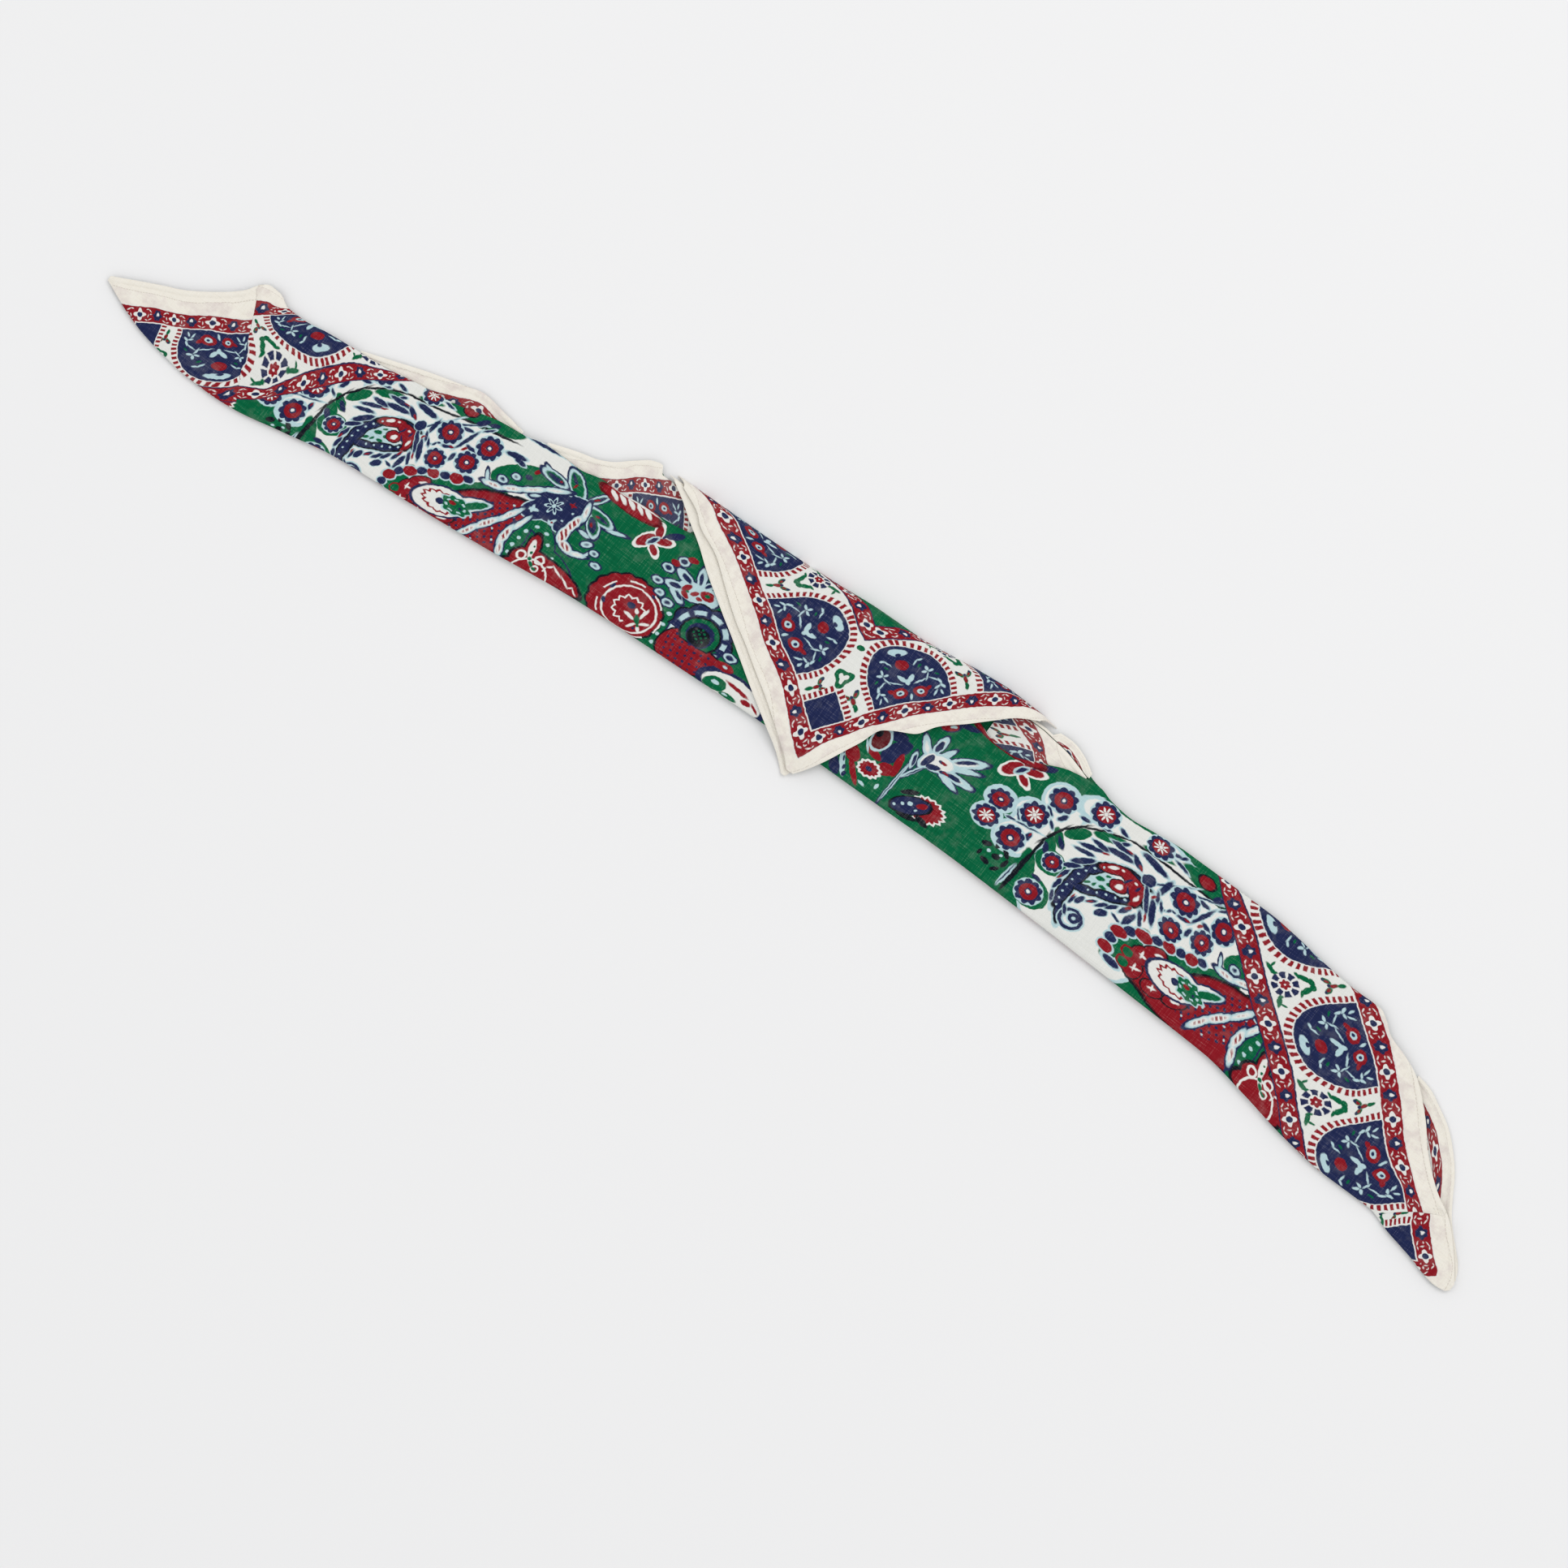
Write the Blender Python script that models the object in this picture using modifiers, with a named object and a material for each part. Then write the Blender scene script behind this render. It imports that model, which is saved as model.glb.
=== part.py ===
"""Square cotton neck scarf, folded on the bias into a long band and laid flat.

Sizes are worked out in millimetres in the band's own frame and written in metres:
`along` follows the chord from the left corner to the right corner, `across` goes
from the near long edge (a fold) to the far one, and `up` is the height over the
floor. Every sheet is an open surface with a wall from Solidify. The layers that
nothing shows of are one rounded solid with a flat underside and layered edges.
"""

import math

import bpy
import numpy as np

# ---------------------------------------------------------------- driving sizes, mm
WALL = 1.0  # cloth wall of every sheet
GAP = 0.3  # space between two pieces
PLEAT_GAP = 0.8  # the same between two pieces whose walls lean towards each other
PLY = WALL + GAP  # what one more sheet adds to the stack
SHOULDER = 2.5  # how far in from a folded edge the cloth becomes level
SKIRT = 0.4  # straight end of the cloth below a rolled edge
UNDER_FRONT = 2.0  # how far a back layer reaches in under the front face's far edge
HEM_DROOP = 0.2
UNDER_FLAP_INSET = 1.9  # the flap's under layer turns this far inside the upper one's fold
MM = 0.001
STATION = 11.0  # usual spacing of the sections along the band
FINE_STATION = 4.6  # the same beside the two pleats
TOP_COLUMNS = 9  # points across the level part of a section
SHELF = 1.8  # room under the front face's far edge where a back layer looks out
LEFT_END, RIGHT_END = -382.5, 380.6
LEFT_PLEAT, LEFT_SKEW = -314.0, -24.0  # where the left corner meets the front face
RIGHT_PLEAT, RIGHT_SKEW = 346.5, 23.0  # the same at the right corner
MIDDLE = -4.0  # the two halves of the front face part here, under the flap

# ---------------------------------------------------------------- sections: along, across
NEAR_EDGE = (
    (-382.5, -1.2), (-375, -4.4), (-368, -7.2), (-355, -11.1), (-342, -13.3),
    (-329, -14.8), (-316, -14.9), (-303, -14.0), (-278, -8.9), (-252, -3.6),
    (-213, 0.0), (-174, 4.1), (-123, 10.3), (-71, 13.6), (-20, 16.3),
    (32, 17.6), (84, 18.8), (136, 18.3), (187, 17.3), (226, 16.4),
    (252, 12.5), (278, 7.8), (303, 5.3), (328, 5.4), (342, 1.8),
    (357, -1.3), (365, -3.5), (373, -4.9), (378.6, -4.3), (380.6, -2.6),
)
FRONT_FAR_EDGE = (
    (-382.5, 1.2), (-361.4, 11.7), (-352.7, 15.7), (-341.9, 22.6), (-329.5, 33.0),
    (-326, 38.4), (-321.5, 41.3), (-316, 41.0), (-309, 37.8), (-301, 37.7),
    (-290, 39.4), (-275, 41.0), (-257, 42.7), (-244, 45.3), (-222, 48.6),
    (-201, 54.4), (-188, 56.0), (-177, 58.7), (-160, 58.6), (-147, 61.2),
    (-141, 61.0), (-135, 57.9), (-126, 57.3), (-115, 62.4), (-103, 65.4),
    (-90, 70.0), (-70, 80.0), (-20, 85.0), (12, 86.6), (35, 84.0),
    (46, 79.5), (57.5, 74.9), (68, 72.1), (76, 72.6), (86, 76.4),
    (102, 83.0), (117, 84.8), (124, 83.0), (136, 81.9), (149, 83.4),
    (165, 85.0), (213, 85.4), (226, 84.5), (252, 81.6), (265, 80.9),
    (278, 81.2), (284, 78.4), (290, 73.8), (300, 70.6), (309, 66.8),
    (325, 53.2), (335.5, 41.3), (350, 29.4), (360, 23.8), (372, 12.0),
    (380.6, 1.0),
)
# columns: along, height, share of it that is crown, near wrap, far wrap, shelf
BAND_FORM = (
    (-382.5, 2.3, 0.03, 0.15, 0.0, 0.0), (-355, 2.6, 0.04, 0.5, 0.0, 0.0),
    (-330, 3.0, 0.06, 1.0, 0.0, 0.0), (-318, 3.3, 0.08, 1.0, 1.0, 0.0),
    (-291, 3.8, 0.11, 1.0, 1.0, 0.0), (-277, 4.0, 0.12, 1.0, 0.4, SHELF),
    (-190, 5.0, 0.15, 1.0, 0.4, SHELF), (-100, 5.4, 0.15, 1.0, 0.4, SHELF),
    (-78, 5.6, 0.15, 1.0, 1.0, 0.0), (35, 5.6, 0.15, 1.0, 1.0, 0.0),
    (50, 5.6, 0.15, 1.0, 0.4, SHELF), (115, 5.5, 0.15, 1.0, 0.4, SHELF),
    (126, 5.4, 0.15, 1.0, 1.0, 0.0), (265, 4.6, 0.13, 1.0, 1.0, 0.0),
    (284, 4.2, 0.12, 1.0, 0.5, 0.0), (300, 3.8, 0.10, 1.0, 0.15, 0.0),
    (330, 3.3, 0.07, 1.0, 0.05, 0.0), (360, 2.95, 0.04, 0.5, 0.0, 0.0),
    (380.6, 2.75, 0.03, 0.15, 0.0, 0.0),
)
# where something stands out past the front face at the far side: along, across
FAR_HEM = (
    (-271, 42.3), (-257, 47.2), (-241, 52.8), (-224, 57.7), (-214, 60.3), (-203, 58.9),
    (-190, 57.0),
)
LEFT_WINDOW = (
    (-178, 59.9), (-164, 64.8), (-156, 67.0), (-149, 70.6), (-142, 76.6), (-135, 81.8),
    (-129, 83.4),
)
FLAP_FOLD = (
    (-127, 83.2), (-107, 84.0), (-93, 84.5), (-65, 85.5), (-35, 87.4), (-14, 89.4),
    (12, 90.5), (25, 92.2), (43, 94.8), (59, 96.1), (74, 95.9), (85, 94.7),
)
RIGHT_WINDOW = ((87, 94.6), (94, 94.3), (102, 92.1), (110, 87.6), (118, 85.4))
RIGHT_CORNER_HEM = (
    (311, 67.0), (318, 65.6), (328, 60.8), (335.6, 56.4), (347.5, 45.3), (352.3, 39.1),
    (356.5, 32.2), (361, 25.4), (366, 19.6), (372, 13.9), (379, 5.6), (380.2, 2.6),
)
# how far the hidden layers end inside the outline at the far side: along, inset
HIDDEN_INSET = (
    (-382.5, 0.3), (-330, 0.3), (-316, 0.15), (-291, 0.15), (-277, 1.0), (-132, 1.0),
    (-127, 3.8), (84, 3.8), (88, 1.0), (114, 1.0), (122, 0.15), (290, 0.15),
)
# flap rows from its fold to its point: level, left end, right end (both along)
FLAP_TILT = 0.053  # rise of a row for each mm along
FLAP_FOLD_LEVEL = 86.6
UPPER_FLAP_ROWS = (
    (86.6, -116.5, 76.5), (81, -105.0, 66.4), (76, -99.5, 60.0), (69.5, -87.0, 51.7),
    (60, -75.0, 40.5), (52.5, -65.6, 35.3), (47.4, -58.5, 25.5), (44, -53.0, 20.7),
    (35, -40.0, 17.2), (29, -31.0, 14.3), (18.4, -16.8, 9.2), (10, -6.2, 4.2),
    (6.0, -2.6, 1.2),
)
UNDER_FLAP_ROWS = (
    (86.6, -121.5, 72.0), (81, -112.6, 62.4), (76, -106.0, 56.0), (69.5, -96.5, 47.7),
    (60, -84.4, 36.5), (52.5, -73.6, 31.3), (47.4, -66.2, 21.5), (44, -61.0, 16.7),
    (35, -48.0, 13.2), (29, -39.4, 10.3), (18.4, -23.6, 5.6), (10, -11.0, 1.4),
    (3.2, -3.4, -1.2),
)
# soft folds in the front face: ends (along, across), half width, height at each end
FOLDS = (
    (-316.5, 42.0, -298.0, 5.0, 3.4, 1.3, 0.3),
    (327.0, 9.0, 345.0, 26.0, 3.2, 0.4, 0.9),
    (345.0, 4.0, 361.0, 17.0, 3.0, 0.5, 0.7),
    (-60.0, 30.0, -10.0, 24.0, 7.0, 0.3, 0.3),
    (150.0, 40.0, 235.0, 34.0, 8.0, 0.5, 0.3),
    (-232.0, 18.0, -150.0, 26.0, 8.0, 0.4, 0.5),
)
TROUGHS = (
    (-330.0, 26.0, -314.0, 2.0, 3.6, -0.35, -0.15),
    (-262.0, 26.0, -160.0, 44.0, 6.0, -0.5, -0.4),
    (118.0, 62.0, 240.0, 58.0, 7.0, -0.5, -0.5),
    (262.0, 44.0, 322.0, 26.0, 5.0, -0.4, -0.2),
    (335.0, 3.0, 361.0, 28.0, 4.0, -0.25, -0.25),
)
# the inner hem of the right window, over the outermost one: along, across
INNER_RIGHT_HEM = (
    (60, 88.0), (70, 90.0), (80, 90.2), (86, 89.6), (94, 88.8), (103, 86.6), (109, 84.8),
)
OUTER_RIGHT_HEM = ((72, 91.2), (84.4, 90.7), (87.6, 93.9), (94, 94.2), (102, 92.1), (110, 87.6))
# the left window goes on under the flap, just inside the flap's fold
LEFT_WINDOW_UNDER_FLAP = ((-130.5, 83.0), (-127.6, 79.2), (-112, 79.4), (-99, 79.6))
# the upper flap's lower hem stands off the face below: centre (along, across), reach, lift
HEM_LIFTS = ((30.0, 52.0, 13.0, 2.2), (62.0, 82.0, 15.0, 1.8), (12.0, 24.0, 9.0, 0.8))


# ---------------------------------------------------------------- maths
def smooth(rows, x, column=1):
    """Value of a column at x, by a cubic through the rows that never overshoots them."""
    xs = np.array([row[0] for row in rows], float)
    ys = np.array([row[column] for row in rows], float)
    x = np.clip(np.asarray(x, float), xs[0], xs[-1])
    step = np.diff(xs)
    slope = np.diff(ys) / step
    same = slope[:-1] * slope[1:] > 0
    total = np.where(same, slope[:-1] + slope[1:], 1.0)
    inner = np.where(same, 2 * slope[:-1] * slope[1:] / total, 0.0)
    tangent = np.concatenate([slope[:1], inner, slope[-1:]])
    i = np.clip(np.searchsorted(xs, x, side="right") - 1, 0, len(step) - 1)
    u = (x - xs[i]) / step[i]
    return (
        (1 + 2 * u) * (1 - u) ** 2 * ys[i]
        + u * (1 - u) ** 2 * step[i] * tangent[i]
        + u * u * (3 - 2 * u) * ys[i + 1]
        + u * u * (u - 1) * step[i] * tangent[i + 1]
    )


def ease(x):
    x = np.clip(x, 0.0, 1.0)
    return x * x * (3 - 2 * x)


def folds_at(rows, along, across):
    """Sum of the soft folds at a point. Each runs from one end to the other and fades past both."""
    total = np.zeros(np.broadcast(along, across).shape)
    for a0, c0, a1, c1, half_width, first, last in rows:
        length2 = (a1 - a0) ** 2 + (c1 - c0) ** 2
        u = np.clip(((along - a0) * (a1 - a0) + (across - c0) * (c1 - c0)) / length2, 0, 1)
        away = np.hypot(along - a0 - u * (a1 - a0), across - c0 - u * (c1 - c0))
        total += (first + u * (last - first)) * np.exp(-((away / half_width) ** 2))
    return total


def outline_rows():
    """The far outline of the whole band: the front face's edge, and what stands out past it."""
    first, last = FAR_HEM[0][0], RIGHT_CORNER_HEM[0][0]
    between = [row for row in FRONT_FAR_EDGE if RIGHT_WINDOW[-1][0] < row[0] < last]
    return (
        [row for row in FRONT_FAR_EDGE if row[0] < first]
        + list(FAR_HEM + LEFT_WINDOW + FLAP_FOLD + RIGHT_WINDOW)
        + between
        + list(RIGHT_CORNER_HEM)
    )


OUTLINE = outline_rows()


class Band:
    """Sizes of the band's section at each place along it."""

    def __init__(self, along):
        self.near = smooth(NEAR_EDGE, along)
        self.far = smooth(FRONT_FAR_EDGE, along)
        self.height = smooth(BAND_FORM, along)
        self.level = self.height * (1 - smooth(BAND_FORM, along, 2))
        half = self.level - 0.5 * self.height - SKIRT - 0.3
        self.near_wrap = smooth(BAND_FORM, along, 3)
        self.far_wrap = smooth(BAND_FORM, along, 4)
        self.near_drop = 0.3 + self.near_wrap * half
        self.far_drop = 0.3 + self.far_wrap * half
        self.shelf = smooth(BAND_FORM, along, 5)
        self.shoulder = np.minimum(SHOULDER, 0.3 * (self.far - self.near))
        tail = self.far - 3.2
        self.hidden_far = smooth(OUTLINE, along) - smooth(HIDDEN_INSET, along)
        self.hidden_far += ease((along - 286) / 20) * (tail - self.hidden_far)
        below_far = self.level - self.far_drop - SKIRT * self.far_wrap - GAP
        self.shelf_top = np.minimum(below_far, self.level - PLY - 0.15)
        self.shelf_top = self.shelf_top - self.shelf


def face_height(along, across):
    """Top of the front face, without the folds that only its own sheet has."""
    band = Band(along)
    share = np.clip((across - band.near) / (band.far - band.near), 0, 1)
    crown = (band.height - band.level) * np.sin(math.pi * share) ** 0.8
    return band.level + crown + folds_at(TROUGHS, along, across)


def skewed(along, share):
    """Moves a section's points along, so that the sections lie along the pleats beside them."""
    left = ease(1 - np.abs(along - LEFT_PLEAT) / 46)
    right = ease(1 - np.abs(along - RIGHT_PLEAT) / 33.5)
    return along + (share - 0.5) * (LEFT_SKEW * left + RIGHT_SKEW * right)


# ---------------------------------------------------------------- Blender helpers
def clear_scene():
    for obj in list(bpy.data.objects):
        bpy.data.objects.remove(obj, do_unlink=True)


def cloth_material(name, colour):
    material = bpy.data.materials.new(name)
    material.use_nodes = True
    shader = material.node_tree.nodes["Principled BSDF"]
    shader.inputs["Base Color"].default_value = (*colour, 1.0)
    shader.inputs["Roughness"].default_value = 0.9
    material.diffuse_color = (*colour, 1.0)
    return material


def new_object(name, points, faces, material, collection):
    mesh = bpy.data.meshes.new(name)
    mesh.from_pydata([tuple(p) for p in np.asarray(points) * MM], [], faces)
    mesh.validate()
    mesh.materials.append(material)
    obj = bpy.data.objects.new(name, mesh)
    collection.objects.link(obj)
    return obj


def grid_faces(rows, columns):
    corners = [i * columns + j for i in range(rows - 1) for j in range(columns - 1)]
    return [(a, a + columns, a + columns + 1, a + 1) for a in corners]


def sheet(name, along, across, up, material, collection):
    """A sheet of cloth: its outer surface as a grid, with the wall inside it."""
    rows, columns = along.shape
    points = np.stack([along, across, up], axis=-1).reshape(-1, 3)
    obj = new_object(name, points, grid_faces(rows, columns), material, collection)
    wall = obj.modifiers.new("wall", "SOLIDIFY")
    wall.thickness = WALL * MM
    wall.offset = -1.0
    return obj


def stations(start, end):
    """Places of the sections from start to end, closer together beside the pleats."""
    places = [start]
    while places[-1] < end - 0.5:
        here = places[-1]
        beside = min(abs(here - LEFT_PLEAT), abs(here - RIGHT_PLEAT)) < 26
        near_end = min(here - LEFT_END, RIGHT_END - here) < 14
        places.append(here + (FINE_STATION if beside or near_end else STATION))
    places = np.array(places)
    return start + (places - start) * (end - start) / (places[-1] - start)


# ---------------------------------------------------------------- the pieces
def front_sheet(name, start, end, material, collection):
    """A stretch of the front face, rolled over the near fold and the far edge."""
    turn = np.array([-0.2, 0.0, 0.42, 0.95, math.pi / 2])
    inner = np.linspace(0, 1, TOP_COLUMNS + 2)[1:-1]
    place = stations(start, end)[:, None]

    def section(share, side, angle):
        along = skewed(place, share) + np.zeros_like(angle)[None, :]
        band = Band(along)
        rolled = np.clip(angle, 0, None)
        if side == "near":
            across = band.near + band.shoulder * (1 - np.cos(rolled))
            drop, wrap = band.near_drop, band.near_wrap
        else:
            across = band.far - band.shoulder * (1 - np.cos(rolled))
            drop, wrap = band.far_drop, band.far_wrap
        up = face_height(along, across) - drop * (1 - np.sin(rolled))
        up = up - np.where(angle < 0, 0.02 + SKIRT * wrap, 0.0)
        return along, across, up

    near = section(0.0, "near", turn)
    far = section(1.0, "far", turn[::-1])
    share = inner[None, :]
    along = skewed(place, share)
    band = Band(along)
    width = band.far - band.near - 2 * band.shoulder
    across = band.near + band.shoulder + share * width
    up = face_height(along, across)
    parts = [np.concatenate(three, axis=1) for three in zip(near, (along, across, up), far)]
    parts[2] = parts[2] + folds_at(FOLDS, parts[0], parts[1])
    return sheet(name, *parts, material, collection)


def folded_layers(material, collection):
    """The hidden layers: one solid, flat below, two rounded layers at each long edge."""
    place = stations(LEFT_END + 2.6, RIGHT_END - 3.2)
    # columns: distance in from the edge, share of the layered part's height
    edge = (
        (1.1, 0.0), (0.3, 0.12), (0.15, 0.32), (0.9, 0.5), (0.3, 0.62), (0.25, 0.82),
        (1.2, 1.0),
    )
    rings = []
    for here in place:
        band = Band(np.array(here))
        width = band.far - band.near
        small = min(1.0, float(width) / 9.0)
        wall_top = float(band.level) - PLY - 0.12
        low = min(
            float(band.level - band.near_drop - SKIRT * band.near_wrap) - GAP - 0.05,
            wall_top - 0.1,
        )
        shelf = min(float(band.shelf_top), wall_top - 0.04)
        inset = max(2.0 + 1.6 * float(band.shelf) / SHELF, float(band.far - band.hidden_far) + 1.5)
        ring = [(float(band.near) + small * dx, low * z) for dx, z in edge]
        ring.append((float(band.near) + small * 2.0, low))
        first = float(band.near) + small * 3.4
        last = float(band.far) - small * (inset + 1.2)
        for share in np.linspace(0, 1, 8):
            across = first + share * (last - first)
            ring.append((across, float(face_height(here, across)) - PLY - 0.12))
        ring.append((float(band.far) - small * inset, min(shelf + 0.5, wall_top - 0.02)))
        ring.append((float(band.far) - small * (inset - 0.1), shelf))
        ring += [(float(band.hidden_far) - small * dx, shelf * z) for dx, z in edge[::-1]]
        rings.append([(here, across, up) for across, up in ring])
    count = len(rings[0])
    points = [point for ring in rings for point in ring]
    faces = []
    for i in range(len(rings) - 1):
        for j in range(count):
            a, b = i * count + j, i * count + (j + 1) % count
            faces.append((a, a + count, b + count, b))
    faces.append(tuple(range(count)))
    faces.append(tuple(range(len(rings) * count - 1, (len(rings) - 1) * count - 1, -1)))
    return new_object("folded_layers", points, faces, material, collection)


def shelf_sheet(name, inner, outer, droop, material, collection, spacing):
    """A back layer that looks out under the front face's far edge, lying on the shelf."""
    start, end = outer[0][0], outer[-1][0]
    place = np.linspace(start, end, max(3, int((end - start) / spacing) + 1))[:, None]
    share = np.linspace(0, 1, 5)[None, :]
    band = Band(place)
    first = inner(place, band)
    last = np.maximum(smooth(outer, place), first + 1.2)
    across = first + share * (last - first)
    up = band.shelf_top + PLY + 0.06 - droop * share**4 + 0 * across
    return sheet(name, place + 0 * across, across, up, material, collection)


def flap_base(along, across):
    """What the flap lies on: the front face, level on to the flap's fold, down past the near edge."""
    band = Band(along)
    edge = band.near + 3.0
    inside = np.clip(across, edge, band.far - SHOULDER)
    base = face_height(along, inside) + folds_at(FOLDS, along, inside)
    out = np.clip((edge - across) / 16.0, 0, 1)
    return base * (1 - ease(out) * 0.98)


def flap_sheet(name, rows, sheets_below, fold_in, fold_low, material, collection):
    """One layer of the flap, from the floor round the far fold and down to its point."""
    columns = np.linspace(0, 1, 16)[None, :]
    levels = [86.6, 83, 79, 75, 70, 64, 58, 52, 47, 42, 36, 30, 24, 18, 12, 8, rows[-1][0]]
    rise = sheets_below * (PLY + 0.2) + WALL + GAP
    along, across, up = [], [], []
    top_start, top_end = rows[0][1] - 5.3 + fold_in, rows[0][2] + 8.3 - fold_in
    for angle in np.linspace(0, math.pi / 2, 5)[:-1]:
        part = math.sin(angle)
        a = top_start + part * (rows[0][1] - top_start) + columns * (
            top_end - top_start + part * (rows[0][2] - rows[0][1] - top_end + top_start)
        )
        fold = smooth(FLAP_FOLD, a) - fold_in
        c = fold - (3.4 - fold_in) * (1 - math.cos(angle))
        crest = flap_base(a, smooth(FLAP_FOLD, a) - 3.4) + rise
        along.append(a)
        across.append(c)
        up.append(fold_low + (crest - fold_low) * part)
    for level in levels:
        left, right = smooth_down(rows, level, 1), smooth_down(rows, level, 2)
        a = left + columns * (right - left)
        line = level + FLAP_TILT * a
        at_fold = smooth(FLAP_FOLD, a) - 3.4 - (FLAP_FOLD_LEVEL + FLAP_TILT * a)
        c = line + at_fold * ease((level - 66) / (FLAP_FOLD_LEVEL - 66))
        along.append(a)
        across.append(c)
        up.append(flap_base(a, c) + rise)
    along, across, up = (np.concatenate(x, axis=0) for x in (along, across, up))
    if sheets_below:
        for a0, c0, reach, lift in HEM_LIFTS:
            away = np.hypot(along - a0, across - c0) / reach
            up = up + lift * np.exp(-(away**2)) * ease((columns - 0.55) / 0.4)
    return sheet(name, along, across, up, material, collection)


def smooth_down(rows, level, column):
    return float(smooth(rows[::-1], level, column))


def under_front(place, band):
    return band.far - UNDER_FRONT


def beside_inner_hem(place, band):
    return smooth(INNER_RIGHT_HEM, place) + GAP + 0.05


def right_corner_layer(material, collection):
    """The back layer behind the right corner. It lies on the floor beside the hidden layers."""
    start, end = RIGHT_CORNER_HEM[0][0], RIGHT_CORNER_HEM[-1][0]
    place = np.linspace(start, end, 18)[:, None]
    share = np.linspace(0, 1, 5)[None, :]
    band = Band(place)
    first = np.maximum(band.far - 2.6, band.near + 0.5)
    across = first + share * (smooth(RIGHT_CORNER_HEM, place) - first)
    swell = 0.12 * np.sin(math.pi * share) * ease((352 - place) / 12)
    up = WALL + 0.02 + swell + 0 * across
    return sheet("layer_right_corner", place + 0 * across, across, up, material, collection)


def build():
    clear_scene()
    scarf = bpy.data.collections.new("neck_scarf")
    bpy.context.scene.collection.children.link(scarf)
    printed = cloth_material("printed_cloth", (0.36, 0.20, 0.20))
    border = cloth_material("border_cloth", (0.30, 0.10, 0.16))
    hem = cloth_material("hem_cloth", (0.86, 0.82, 0.75))
    wrong = cloth_material("wrong_side_cloth", (0.72, 0.62, 0.58))
    hidden = cloth_material("hidden_cloth", (0.42, 0.36, 0.36))

    front_sheet("left_corner", LEFT_END, LEFT_PLEAT - PLEAT_GAP / 2, border, scarf)
    front_sheet("front_left", LEFT_PLEAT + PLEAT_GAP / 2, MIDDLE - GAP / 2, printed, scarf)
    front_sheet("front_right", MIDDLE + GAP / 2, RIGHT_PLEAT - PLEAT_GAP / 2, printed, scarf)
    front_sheet("right_corner", RIGHT_PLEAT + PLEAT_GAP / 2, RIGHT_END, border, scarf)
    folded_layers(hidden, scarf)

    shelf_sheet("hem_far_left", under_front, FAR_HEM, HEM_DROOP, hem, scarf, 7.0)
    window = LEFT_WINDOW[:-1] + LEFT_WINDOW_UNDER_FLAP
    shelf_sheet("layer_left_window", under_front, window, 0.0, wrong, scarf, 4.5)
    shelf_sheet("layer_right_window", under_front, INNER_RIGHT_HEM, 0.0, wrong, scarf, 4.5)
    shelf_sheet(
        "hem_far_right", beside_inner_hem, OUTER_RIGHT_HEM, HEM_DROOP, hem, scarf, 4.0
    )
    right_corner_layer(hem, scarf)
    flap_sheet("flap_under", UNDER_FLAP_ROWS, 0, UNDER_FLAP_INSET, 1.6, wrong, scarf)
    flap_sheet("flap_upper", UPPER_FLAP_ROWS, 1, 0.0, 0.2, border, scarf)
    settle(scarf)


def settle(collection):
    """Puts the origin at the middle of the underside of the whole scarf."""
    bpy.context.view_layer.update()
    graph = bpy.context.evaluated_depsgraph_get()
    low, high = np.full(3, np.inf), np.full(3, -np.inf)
    for obj in collection.objects:
        mesh = obj.evaluated_get(graph).to_mesh()
        points = np.empty(len(mesh.vertices) * 3)
        mesh.vertices.foreach_get("co", points)
        points = points.reshape(-1, 3)
        low, high = np.minimum(low, points.min(0)), np.maximum(high, points.max(0))
    shift = np.array([(low[0] + high[0]) / 2, (low[1] + high[1]) / 2, low[2]])
    print("row frame origin in the band frame, mm:", np.round(shift * 1000, 3))
    print("size, mm:", np.round((high - low) * 1000, 2))
    for obj in collection.objects:
        for vertex in obj.data.vertices:
            vertex.co.x -= shift[0]
            vertex.co.y -= shift[1]
            vertex.co.z -= shift[2]


build()
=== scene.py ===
"""Folded cotton neck scarf: the dressed model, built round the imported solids.

Sizes are worked out in millimetres in the band's own frame, as in the part's source:
`along` follows the chord from the left corner to the right one, `across` goes from the
near long edge, a fold, to the far one, and `up` is the height over the floor. The print
lies on flat-cloth coordinates: how far a point is from the two nearest sides of the
square, and where it is on the repeat of the field.
"""
from __future__ import annotations

import logging
import math
from dataclasses import dataclass, field
from enum import Enum
from functools import reduce
from itertools import pairwise
from typing import Callable, Iterable, Sequence, Union

import bpy
import numpy as np
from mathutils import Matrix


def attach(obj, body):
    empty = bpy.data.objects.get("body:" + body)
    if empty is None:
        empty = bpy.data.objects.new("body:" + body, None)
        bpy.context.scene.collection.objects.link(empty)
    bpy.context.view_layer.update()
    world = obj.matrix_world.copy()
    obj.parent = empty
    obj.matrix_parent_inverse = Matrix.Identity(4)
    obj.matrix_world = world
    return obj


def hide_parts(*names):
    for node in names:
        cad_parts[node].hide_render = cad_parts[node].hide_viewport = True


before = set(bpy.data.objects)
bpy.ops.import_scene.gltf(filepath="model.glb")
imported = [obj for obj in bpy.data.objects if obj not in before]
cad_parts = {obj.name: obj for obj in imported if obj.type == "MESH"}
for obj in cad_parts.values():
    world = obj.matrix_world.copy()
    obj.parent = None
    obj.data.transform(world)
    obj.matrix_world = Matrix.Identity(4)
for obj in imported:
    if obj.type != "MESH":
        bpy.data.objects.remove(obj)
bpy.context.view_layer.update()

log = logging.getLogger("neck_scarf")
Array = np.ndarray
Row = tuple[float, ...]
Rows = Sequence[Row]

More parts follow.
